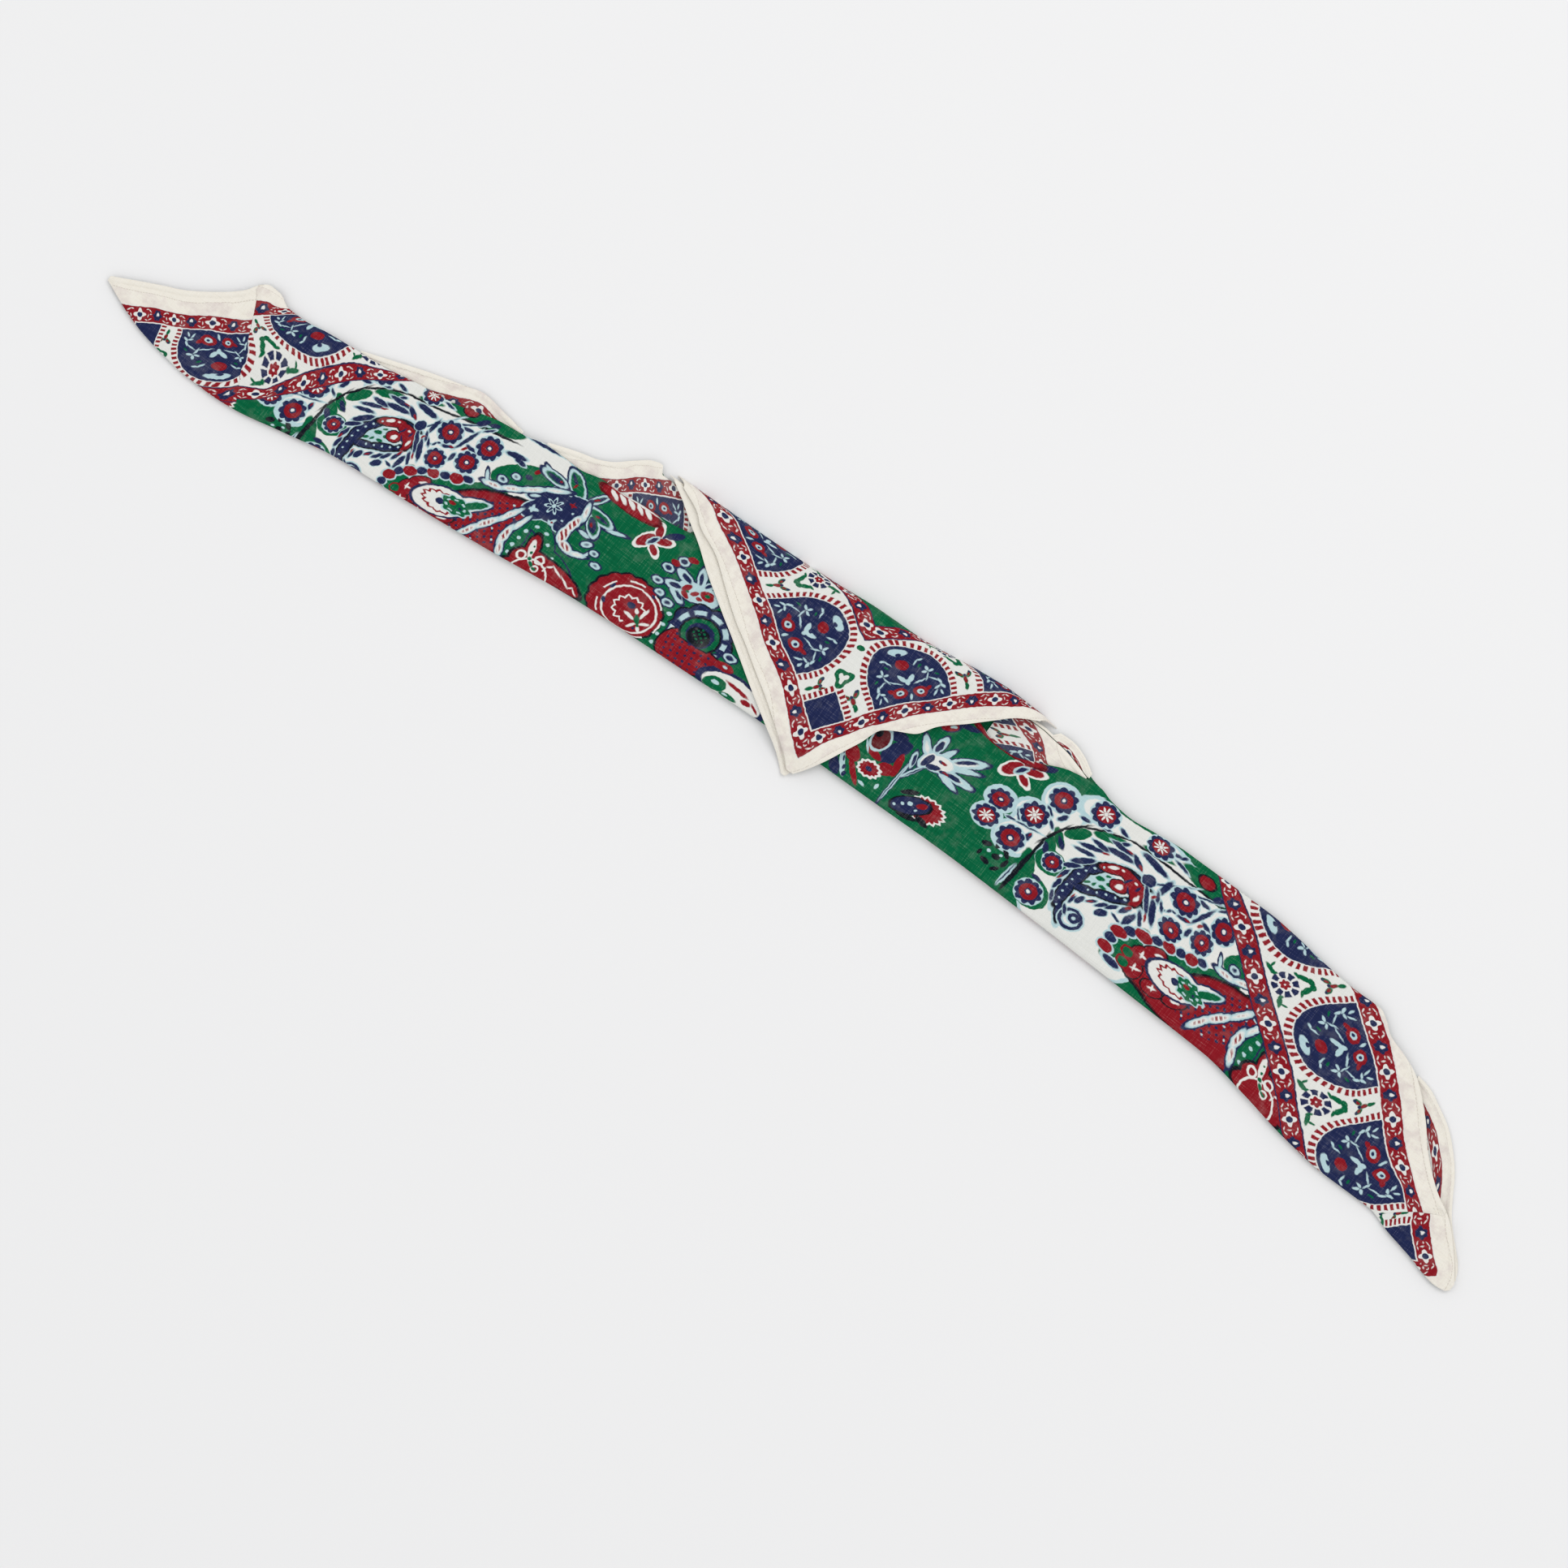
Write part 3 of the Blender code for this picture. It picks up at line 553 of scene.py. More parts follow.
def link(name: str, mesh: bpy.types.Mesh) -> bpy.types.Object:
    """Puts a mesh in the scene as the one selected object.

    Args:
        name: The piece's name.
        mesh: Its mesh.

    Returns:
        The new object.
    """
    bpy.ops.object.select_all(action="DESELECT")
    obj = bpy.data.objects.new(name, mesh)
    bpy.context.scene.collection.objects.link(obj)
    bpy.context.view_layer.objects.active = obj
    obj.select_set(True)
    return obj


Finishes = Sequence[bpy.types.Material]


def dress(mesh: bpy.types.Mesh, finishes: Finishes, flat: dict[UVName, Array]) -> None:
    """Gives a mesh its finishes and maps; several finishes are stretches of the field's repeat.

    Args:
        mesh: The piece's mesh.
        finishes: One finish, or one for each stretch of the repeat.
        flat: Each map's coordinates at the corners of the faces, in mm where they are places.
    """
    for finish in finishes:
        mesh.materials.append(finish)
    if len(finishes) > 1:
        starts, totals = np.empty((2, len(mesh.polygons)), np.int32)
        mesh.polygons.foreach_get("loop_start", starts)
        mesh.polygons.foreach_get("loop_total", totals)
        spot = flat[UVName.FIELD]
        middle = np.add.reduceat(spot[:, 0], starts) / totals
        turns = np.floor((middle - FIELD_CUTS[0]) / FIELD_REPEAT) * FIELD_REPEAT
        stretch = np.searchsorted(FIELD_CUTS, middle - turns, side="right") - 1
        mesh.polygons.foreach_set("material_index", stretch.astype(np.int32))
        spot[:, 0] -= np.repeat(turns, totals)
    for name, values in flat.items():
        layer = mesh.uv_layers.new(name=name.value)
        layer.data.foreach_set("uv", values.astype(np.float32).ravel())


def cloth_object(name: str, grid: ClothGrid, thickness: float, finishes: Finishes) -> bpy.types.Object:
    """Builds a thin shell from a grid: its outer surface, with the wall inside it.

    Args:
        name: The piece's name.
        grid: Points and flat coordinates.
        thickness: The shell's wall, in mm.
        finishes: One finish, or one for each stretch of the field's repeat.

    Returns:
        The finished object, at the origin.
    """
    rows, columns = grid.along.shape
    first = (np.arange(rows - 1)[:, None] * columns + np.arange(columns - 1)[None, :]).ravel()
    faces = np.stack([first, first + columns, first + columns + 1, first + 1], axis=1)
    mesh = bpy.data.meshes.new(name)
    mesh.from_pydata(grid.points(), [], faces.tolist())
    corners = faces.ravel()
    i, j = corners // columns, corners % columns
    bake = np.stack([0.01 + 0.98 * i / (rows - 1), 0.13 + 0.86 * j / (columns - 1)], axis=1)
    dress(mesh, finishes, {
        UVName.BAKE: bake,
        UVName.BORDER: grid.border.reshape(-1, 2)[corners],
        UVName.FIELD: grid.field.reshape(-1, 2)[corners],
    })
    obj = link(name, mesh)
    wall = obj.modifiers.new("wall", "SOLIDIFY")
    wall.thickness = thickness * MM
    wall.offset = -1.0
    bpy.ops.object.modifier_apply(modifier=wall.name)
    squeeze_inner_bake(obj.data, len(faces))
    bpy.ops.object.shade_smooth_by_angle(angle=math.radians(50))
    return obj


def squeeze_inner_bake(mesh: bpy.types.Mesh, outer_faces: int) -> None:
    """Moves the bake coordinates of the inner wall and rim below those of the outer surface."""
    layer = mesh.uv_layers[UVName.BAKE.value]
    values = np.empty(len(mesh.loops) * 2, np.float32)
    layer.data.foreach_get("uv", values)
    values = values.reshape(-1, 2)
    start = outer_faces * 4
    values[start:, 1] = 0.01 + 0.1 * (values[start:, 1] - 0.13)
    layer.data.foreach_set("uv", values.ravel())


# ---------------------------------------------------------------- shader maths
Value = Union["Wire", "Nowhere", float, tuple]


class Nowhere:
    """A distance that is never reached: a motif that lies beyond the stretch being printed."""

    def same(self, *_others: object) -> "Nowhere":
        """Stays unreached, whatever is done to it."""
        return self

    __add__ = __radd__ = __sub__ = __rsub__ = __mul__ = __rmul__ = __truediv__ = same
    __pow__ = __abs__ = most = repeat = cosine = same

    def least(self, other: Value) -> Value:
        """The other value, which is always nearer."""
        return other


NOWHERE = Nowhere()


def maths(operation: str, swapped: bool = False) -> Callable[..., "Wire"]:
    """A method of Wire that adds one Math node.

    Args:
        operation: The node's operation.
        swapped: Whether the wire comes after the other value.

    Returns:
        The method.
    """

    def method(self: "Wire", *others: Value) -> "Wire":
        """Adds the node."""
        values = (*others, self) if swapped else (self, *others)
        return self.tree.math(operation, *values)

    return method


class Wire:
    """A shader value. Sums and products of it add Math nodes to its tree.

    `over` is 1 where the value is over a limit, and `repeat` the place within a repeat.
    """

    __add__ = __radd__ = maths("ADD")
    __sub__, __rsub__ = maths("SUBTRACT"), maths("SUBTRACT", swapped=True)
    __mul__ = __rmul__ = maths("MULTIPLY")
    __truediv__, __pow__, __abs__ = maths("DIVIDE"), maths("POWER"), maths("ABSOLUTE")
    least, most, over = maths("MINIMUM"), maths("MAXIMUM"), maths("GREATER_THAN")
    repeat, cosine = maths("FLOORED_MODULO"), maths("COSINE")

    def __init__(self, tree: "ShaderTree", socket: bpy.types.NodeSocket) -> None:
        """Wraps an output socket of a node in a tree."""
        self.tree, self.socket = tree, socket


ANYWHERE = (-math.inf, math.inf)
SMALL = 6.0  # what a small shape may cover round its middle, mm


class ShaderTree:
    """A node tree, with one method for any node and short ones for what the print needs."""

    def __init__(self, tree: bpy.types.NodeTree, stretch: tuple[float, float] = ANYWHERE) -> None:
        """Wraps a material's or group's node tree.

        Args:
            tree: The node tree.
            stretch: First and last x of what it prints; motifs beyond it are left out.
        """
        self.tree, self.stretch = tree, stretch

    def node(
        self, kind: str, settings: dict | None = None, inputs: dict | None = None
    ) -> bpy.types.Node:
        """Adds a node.

        Args:
            kind: The node's type.
            settings: Its properties, set before its sockets.
            inputs: Values or wires by socket name or number.

        Returns:
            The node.
        """
        node = self.tree.nodes.new(kind)
        for name, value in (settings or {}).items():
            setattr(node, name, value)
        for key, value in (inputs or {}).items():
            if isinstance(value, Wire):
                self.tree.links.new(value.socket, node.inputs[key])
            else:
                node.inputs[key].default_value = value
        return node

    def out(self, node: bpy.types.Node, key: int | str = 0) -> Wire:
        """A node's output as a wire."""
        return Wire(self, node.outputs[key])

    def math(self, operation: str, *values: Value, clamp: bool = False) -> Wire:
        """Adds a Math node."""
        if NOWHERE in values:
            rest = [value for value in values if value is not NOWHERE]
            return rest[0] if rest and operation == "MINIMUM" else NOWHERE
        settings = {"operation": operation, "use_clamp": clamp}
        return self.out(self.node("ShaderNodeMath", settings, dict(enumerate(values))))

    def beyond(self, x: float, reach: float) -> bool:
        """Whether a motif at x lies beyond the stretch that is printed."""
        first, last = self.stretch
        return x + 1.5 * reach + 4 < first or x - 1.5 * reach - 4 > last

    def vector(self, x: Value, y: Value) -> Wire:
        """A flat vector of two values, with 1 as its third part."""
        return self.out(self.node("ShaderNodeCombineXYZ", None, {0: x, 1: y, 2: 1.0}))

    def parts(self, vector: Wire) -> tuple[Wire, Wire]:
        """The first two parts of a vector."""
        if vector is NOWHERE:
            return NOWHERE, NOWHERE
        node = self.node("ShaderNodeSeparateXYZ", None, {0: vector})
        return self.out(node, 0), self.out(node, 1)

    def length(self, vector: Wire) -> Wire:
        """A vector's length."""
        if vector is NOWHERE:
            return NOWHERE
        node = self.node("ShaderNodeVectorMath", {"operation": "LENGTH"}, {0: vector})
        return self.out(node, "Value")

    def direction(self, vector: Value) -> Value:
        """A flat vector's direction in radians."""
        right, up = self.parts(vector)
        return self.math("ARCTAN2", up, right)

    def dot(self, vector: Wire, other: tuple[float, float, float]) -> Wire:
        """Dot product of a vector and a fixed one."""
        node = self.node("ShaderNodeVectorMath", {"operation": "DOT_PRODUCT"}, {0: vector, 1: other})
        return self.out(node, "Value")

    def distance(self, vector: Wire, x: float, y: float) -> Wire:
        """Distance of a flat point from a fixed one."""
        if self.beyond(x, SMALL):
            return NOWHERE
        inputs = {0: vector, 1: (x, y, 1.0)}
        return self.out(self.node("ShaderNodeVectorMath", {"operation": "DISTANCE"}, inputs), "Value")

    def placed(self, vector: Wire, x: float, y: float, a: float = 1.0, b: float = 1.0) -> Wire:
        """Coordinates from the middle of a shape, 1 long at its half sizes."""
        if self.beyond(x, max(a, SMALL)):
            return NOWHERE
        node = self.node("ShaderNodeVectorMath", {"operation": "MULTIPLY_ADD"}, {
            0: vector, 1: (1 / a, 1 / b, 0.0), 2: (-x / a, -y / b, 0.0),
        })
        return self.out(node)

    def oval(self, spot: Wire, x: float, y: float, degrees: float, a: float, b: float) -> Wire:
        """About the distance outside an oval, in mm, and less than 0 inside it."""
        if self.beyond(x, max(a, b)):
            return NOWHERE
        turn, unit = math.radians(degrees), math.sqrt(b / 2)
        c, s = math.cos(turn), math.sin(turn)
        along = self.dot(spot, (c / a * unit, s / a * unit, -(x * c + y * s) / a * unit))
        across = self.dot(spot, (-s / b * unit, c / b * unit, (x * s - y * c) / b * unit))
        part = self.math("MULTIPLY_ADD", along, along, -b / 2)
        return self.math("MULTIPLY_ADD", across, across, part)

    def mix(self, cover: Value, under: Value, over: Value) -> Wire:
        """One colour over another."""
        node = self.node("ShaderNodeMix", {"data_type": "RGBA"}, {0: cover, 6: under, 7: over})
        return self.out(node, 2)


class Dye(Enum):
    """Colours of the print, linear, as they look on the matte cotton."""

    CREAM = (0.86, 0.825, 0.75, 1.0)
    WHITE = (0.775, 0.78, 0.75, 1.0)
    RED = (0.285, 0.012, 0.021, 1.0)
    DARK_RED = (0.13, 0.006, 0.012, 1.0)
    NAVY = (0.019, 0.028, 0.095, 1.0)
    GREEN = (0.002, 0.142, 0.057, 1.0)
    LIGHT_BLUE = (0.49, 0.66, 0.69, 1.0)
    BLACK = (0.008, 0.011, 0.018, 1.0)
    SHOWN_THROUGH = (0.60, 0.50, 0.50, 1.0)
    STITCH = (0.66, 0.61, 0.54, 1.0)


class Press:
    """Lays dyes over each other at a place on the cloth, each with a printed colour's soft edge."""

    softness = 0.32  # mm

    def __init__(self, tree: ShaderTree, ground: Value, spot: Wire | None = None) -> None:
        """Starts a print.

        Args:
            tree: Where its nodes go.
            ground: The cloth's own colour, or what is already printed.
            spot: The coordinates that it prints on.
        """
        self.tree, self.colour = tree, ground
        self.place(spot)

    def place(self, spot: Wire | None, mask: Wire | None = None) -> None:
        """Goes on at other coordinates, and only where the mask is 1 if there is one."""
        self.spot, self.mask = spot, mask

    def lay(self, dye: Dye, outside: Value, mask: Wire | None = None) -> None:
        """Prints a dye where a distance is below 0; the Mix node clamps how much it covers."""
        if outside is NOWHERE:
            return
        cover = self.tree.math("MULTIPLY_ADD", outside, -1 / self.softness, 0.5)
        for limit in (self.mask, mask):
            if limit is not None:
                cover = cover * limit
        self.colour = self.tree.mix(cover, self.colour, dye.value)

    def blots(self, dyes: Dye | Sequence[tuple[Dye, float]], rows: Rows) -> None:
        """Prints ovals in one dye, or in several that each spread so many mm past them."""
        outside = self.outside(rows)
        for dye, spread in [(dyes, 0)] if isinstance(dyes, Dye) else dyes:
            self.lay(dye, outside - spread if spread else outside)

    def outside(self, rows: Rows) -> Value:
        """Distance outside the nearest of several ovals: x, y, degrees, half length, half width."""
        return self.least_of(self.tree.oval(self.spot, *row) for row in rows)

    def least_of(self, values: Iterable[Value]) -> Value:
        """The least of any number of distances."""
        return reduce(lambda near, value: near.least(value), values, NOWHERE)

    def nearest(self, rows: Rows) -> tuple[Value, Value]:
        """Distance and place from the nearest of several middles, 1 long at their sizes: x, y, size."""
        away = local = NOWHERE
        for x, y, size in rows:
            here = self.tree.placed(self.spot, x, y, size, size)
            reach = self.tree.length(here)
            if NOWHERE in (local, here):
                away, local = (away, local) if here is NOWHERE else (reach, here)
                continue
            closer = self.tree.math("LESS_THAN", reach, away)
            inputs = {0: closer, 4: local, 5: here}
            node = self.tree.node("ShaderNodeMix", {"data_type": "VECTOR"}, inputs)
            away, local = away.least(reach), self.tree.out(node, 1)
        return away, local

    def turn_about(self, x: float, y: float, a: float = 1.0, b: float = 1.0) -> tuple[Value, Value]:
        """Distance from a middle, 1 long at the half sizes a and b, and the direction in radians."""
        local = self.tree.placed(self.spot, x, y, a, b)
        return self.tree.length(local), self.tree.direction(local)

    def hoops(self, rows: Rows) -> Value:
        """Distance outside the nearest of several hoops: middle, radius, half thickness."""
        return self.least_of(
            abs(self.tree.distance(self.spot, x, y) - radius) - half for x, y, radius, half in rows
        )

    def way(self, degrees: float) -> Wire:
        """How far a point lies along a direction, in mm."""
        turn = math.radians(degrees)
        return self.tree.dot(self.spot, (math.cos(turn), math.sin(turn), 0.0))

    def lattice(self, wide: float, high: float, degrees: float) -> Wire:
        """Distance from the nearest knot of a turned lattice."""
        right = abs(self.way(degrees).repeat(wide) - wide / 2)
        up = abs(self.way(degrees + 90).repeat(high) - high / 2)
        return self.tree.math("SQRT", self.tree.math("MULTIPLY_ADD", right, right, up * up))

    def above(self, y: float) -> Wire:
        """1 above a level, else 0."""
        return self.tree.dot(self.spot, (0.0, 1.0, 0.0)).over(y)


Sockets = Sequence[tuple[str, str]]


def teeth(turn: Value, count: int) -> Value:
    """0 to 0.5 and back, for each of so many teeth round a middle."""
    return abs((turn * (count / (2 * math.pi))).repeat(1) - 0.5)


def new_group(
    name: str, inputs: Sockets, outputs: Sockets
) -> tuple[bpy.types.NodeTree, bpy.types.Node, bpy.types.Node]:
    """Makes an empty node group.

    Args:
        name: The group's name.
        inputs: Name and kind of each input.
        outputs: Name and kind of each output.

    Returns:
        The group, and its nodes for what comes in and what goes out.
    """
    tree = bpy.data.node_groups.new(name, "ShaderNodeTree")
    for way, sockets in (("INPUT", inputs), ("OUTPUT", outputs)):
        for label, kind in sockets:
            tree.interface.new_socket(label, in_out=way, socket_type=f"NodeSocket{kind}")
    return tree, tree.nodes.new("NodeGroupInput"), tree.nodes.new("NodeGroupOutput")


@dataclass(frozen=True)
class BorderPrint:
    """The printed border: two red bands, and a row of navy domes between them."""

    hem: float = 3.0
    margin: float = 10.0
    outer: float = 19.5
    inner: float = 54.5
    field: float = 64.0
    first_dome: float = 67.0
    pitch: float = 52.0
    blossom_pitch: float = 21.3
    square: float = 35.5
    dome_half: float = 18.6
    dome_straight: float = 8.0
    dome_round: float = 23.0
    dome_size: float = 20.5  # about what a distance of 1 is in mm on the dome's edge
    fullness: float = 2.2  # 2 gives an ellipse, more a fuller dome
    fringe_radius: float = 21.0
    dash_pitch: float = 2.75
    dash_half: float = 0.74
    first_long_column: float = 58.0

    def group(self) -> bpy.types.NodeTree:
        """Builds the border as a node group: colour, and how far a point is from the sides."""
        tree, entry, leave = new_group(
            "border_print", [("Sides", "Vector")], [("Color", "Color"), ("Depth", "Float")]
        )
        sheet = ShaderTree(tree)
        first, second = sheet.parts(sheet.out(entry))
        depth, run = first.least(second), first.most(second)
        press = Press(sheet, Dye.WHITE.value)
        for part in (self.print_domes, self.print_columns, self.print_corner, self.print_bands):
            part(press, depth, run)
        tree.links.new(press.colour.socket, leave.inputs["Color"])
        tree.links.new(depth.socket, leave.inputs["Depth"])
        return tree

    def print_domes(self, press: Press, depth: Wire, run: Wire) -> None:
        """Navy domes on the outer band, with their red fringe and their flowers."""
        sheet, start = press.tree, self.first_dome - self.pitch / 2
        side = abs((run - start).repeat(self.pitch) - self.pitch / 2)
        rise = depth - self.outer
        rounded = (rise - self.dome_straight).most(0.0)
        wide, high = side / self.dome_half, rounded / self.dome_round
        reach = (wide**self.fullness + high**self.fullness) ** (1 / self.fullness)
        outside = sheet.math("MULTIPLY_ADD", reach, self.dome_size, -self.dome_size)
        press.place(sheet.vector(side, rise), run.over(start + 2.0))
        turned = sheet.math("ARCTAN2", rounded, side) * self.fringe_radius
        round_it = turned + rise.least(self.dome_straight)
        dash = abs(round_it.repeat(self.dash_pitch) - self.dash_pitch / 2) - self.dash_half
        fringe = dash.most(abs(outside - 1.9) - 1.45)
        press.lay(Dye.RED, fringe)
        press.lay(Dye.NAVY, outside)
        press.blots(Dye.RED, (
            (4.7, 5.6, 0, 3.5, 3), (8.4, 7, 30, 2.2, 1), (0, 20.6, 0, 3, 2.7),
        ))
        press.blots(Dye.LIGHT_BLUE, (
            (0, 27.4, 0, 4.4, 1.9), (2, 13.4, 50, 2.6, 1.1), (0, 11.6, 90, 1.9, 1.1),
            (0, 2.8, 90, 1.7, 0.6), (4.7, 5.6, 0, 1.8, 1.5), (5.8, 11.4, 20, 3.2, 0.4),
            (9.4, 13.2, 60, 2.2, 0.4), (12.2, 11.4, -35, 2.4, 0.4), (10.4, 17.6, 90, 1.4, 0.65),
            (12, 16.2, 10, 1.4, 0.65), (8.8, 15.9, 170, 1.3, 0.65), (14.6, 9.6, 110, 1.6, 0.65),
            (15.4, 6.8, -50, 1.7, 0.65), (13, 6.8, 20, 1.4, 0.55), (11.8, 4, 60, 1.9, 0.5),
            (14.6, 3.4, 110, 1.5, 0.55), (6.4, 21.8, 50, 2, 0.45), (8.6, 23, 10, 1.3, 0.55),
        ))
        press.blots(Dye.NAVY, (
            (0, 26.2, 0, 1.3, 0.9), (0, 13.6, 0, 0.8, 0.7), (4.9, 5.6, 0, 0.8, 0.7),
        ))
        press.blots(Dye.GREEN, (
            (7.6, 19.6, 40, 1.2, 0.55), (14.2, 13.6, -30, 1.2, 0.5),
        ))

    def print_columns(self, press: Press, depth: Wire, run: Wire) -> None:
        """Between two domes: a sprig, a forked leaf, a flower and two small leaves."""
        side = abs((run - self.first_dome).repeat(self.pitch) - self.pitch / 2)
        spot = press.tree.vector(side, depth - self.outer)
        press.place(spot, run.over(self.square + 3.5))
        press.blots(Dye.GREEN, (
            (0, 4.4, 90, 2.3, 0.85), (2.1, 10.9, 55, 2.1, 1.05), (0, 8.3, 90, 2.6, 0.9),
        ))
        press.blots(Dye.RED, (
            (0, 8.2, 90, 1.8, 0.75), (1.9, 10.9, 55, 1.1, 0.55),
        ))
        press.blots(Dye.NAVY, (
            (0, 10.4, 0, 0.8, 0.8), (2.7, 12.2, 55, 0.8, 0.6),
        ))
        press.place(spot, run.over(self.first_long_column))
        press.blots(Dye.GREEN, (
            (2.5, 19.4, 62, 3.1, 1.15), (1.1, 16.9, 20, 1.6, 1.3), (3.9, 22, 20, 1.7, 0.7),
            (7.4, 32.2, 25, 3.2, 1), (5.6, 31.2, 80, 1.5, 0.7), (9.2, 31, 120, 1.6, 0.6),
        ))
        away, turn = press.turn_about(0.0, 27.9)
        petal = abs((turn + math.pi / 8).repeat(math.pi / 4) - math.pi / 8) * 4.3 - 1.2
        press.lay(Dye.NAVY, petal.most(abs(away - 4.4) - 1.35))
        press.lay(Dye.RED, away - (turn * 6.0).cosine() * 0.35 - 2.15)
        press.lay(Dye.WHITE, away - 0.45)

    def print_corner(self, press: Press, depth: Wire, run: Wire) -> None:
        """The corner: a navy square with a fringe, a green heart, and a dot by the inner band."""
        deep = depth - self.outer
        press.place(press.tree.vector(depth, run))
        dash = abs(depth.repeat(self.dash_pitch) - self.dash_pitch / 2) - self.dash_half
        fringe = dash.most(abs(run - self.square - 2.0) - 1.4)
        press.lay(Dye.RED, fringe.most(0.0 - deep))
        press.lay(Dye.NAVY, (run - self.square).most(0.0 - deep))
        away, turn = press.turn_about(40, 40)
        lobes = (turn * 3.0 + math.pi / 4).cosine()
        press.lay(Dye.GREEN, away - lobes * 0.9 - 4.1)
        press.lay(Dye.WHITE, away - lobes * 0.7 - 2.0)
        press.blots(Dye.GREEN, ((51.3, 51.3, 45, 1.5, 1.9),))

    def print_bands(self, press: Press, depth: Wire, run: Wire) -> None:
        """The two red bands with their blossoms, the white and navy lines, and the margin."""
        outer_half = (self.outer - self.margin) / 2
        inner_half = (self.field - self.inner) / 2
        inner_on = depth.over((self.outer + self.inner) / 2)
        outer_middle, inner_middle = self.margin + outer_half, self.inner + inner_half
        level = depth - outer_middle - inner_on * (inner_middle - outer_middle)
        outside = abs(level) - outer_half
        press.lay(Dye.WHITE, outside - 0.1)
        press.lay(Dye.NAVY, outside - 0.15, inner_on)
        press.lay(Dye.RED, outside + 0.55)
        half = self.blossom_pitch / 2
        side = run.repeat(self.blossom_pitch) - half
        press.place(press.tree.vector(abs(side), level))
        away, turn = press.turn_about(0.0, 0.0)
        press.lay(Dye.NAVY, away - (turn * 5.0).cosine() * 0.4 - 2.7)
        press.blots(Dye.WHITE, ((0.0, -0.9, 65, 1.25, 0.7),))
        away, turn = press.turn_about(half, 0.0)
        press.lay(Dye.WHITE, away - (turn * 4.0).cosine() * 0.75 - 2.75)
        press.lay(Dye.NAVY, away - 1.5)
        press.blots(Dye.WHITE, (
            (4.4, 2.6, 35, 1, 0.32), (5.9, 0.6, 80, 0.9, 0.3), (4.8, -2.4, -40, 1.1, 0.34),
            (6.6, 2.9, -20, 0.8, 0.3), (6.4, -3, 15, 0.7, 0.3), (4.2, -0.4, 10, 0.5, 0.28),
        ))
        press.lay(Dye.CREAM, depth - self.margin)
        stitch = abs(run.repeat(1.7) - 0.85) - 0.6
        press.lay(Dye.STITCH, stitch.most(abs(depth - self.hem) - 0.16))


Motif = Callable[[Press], None]


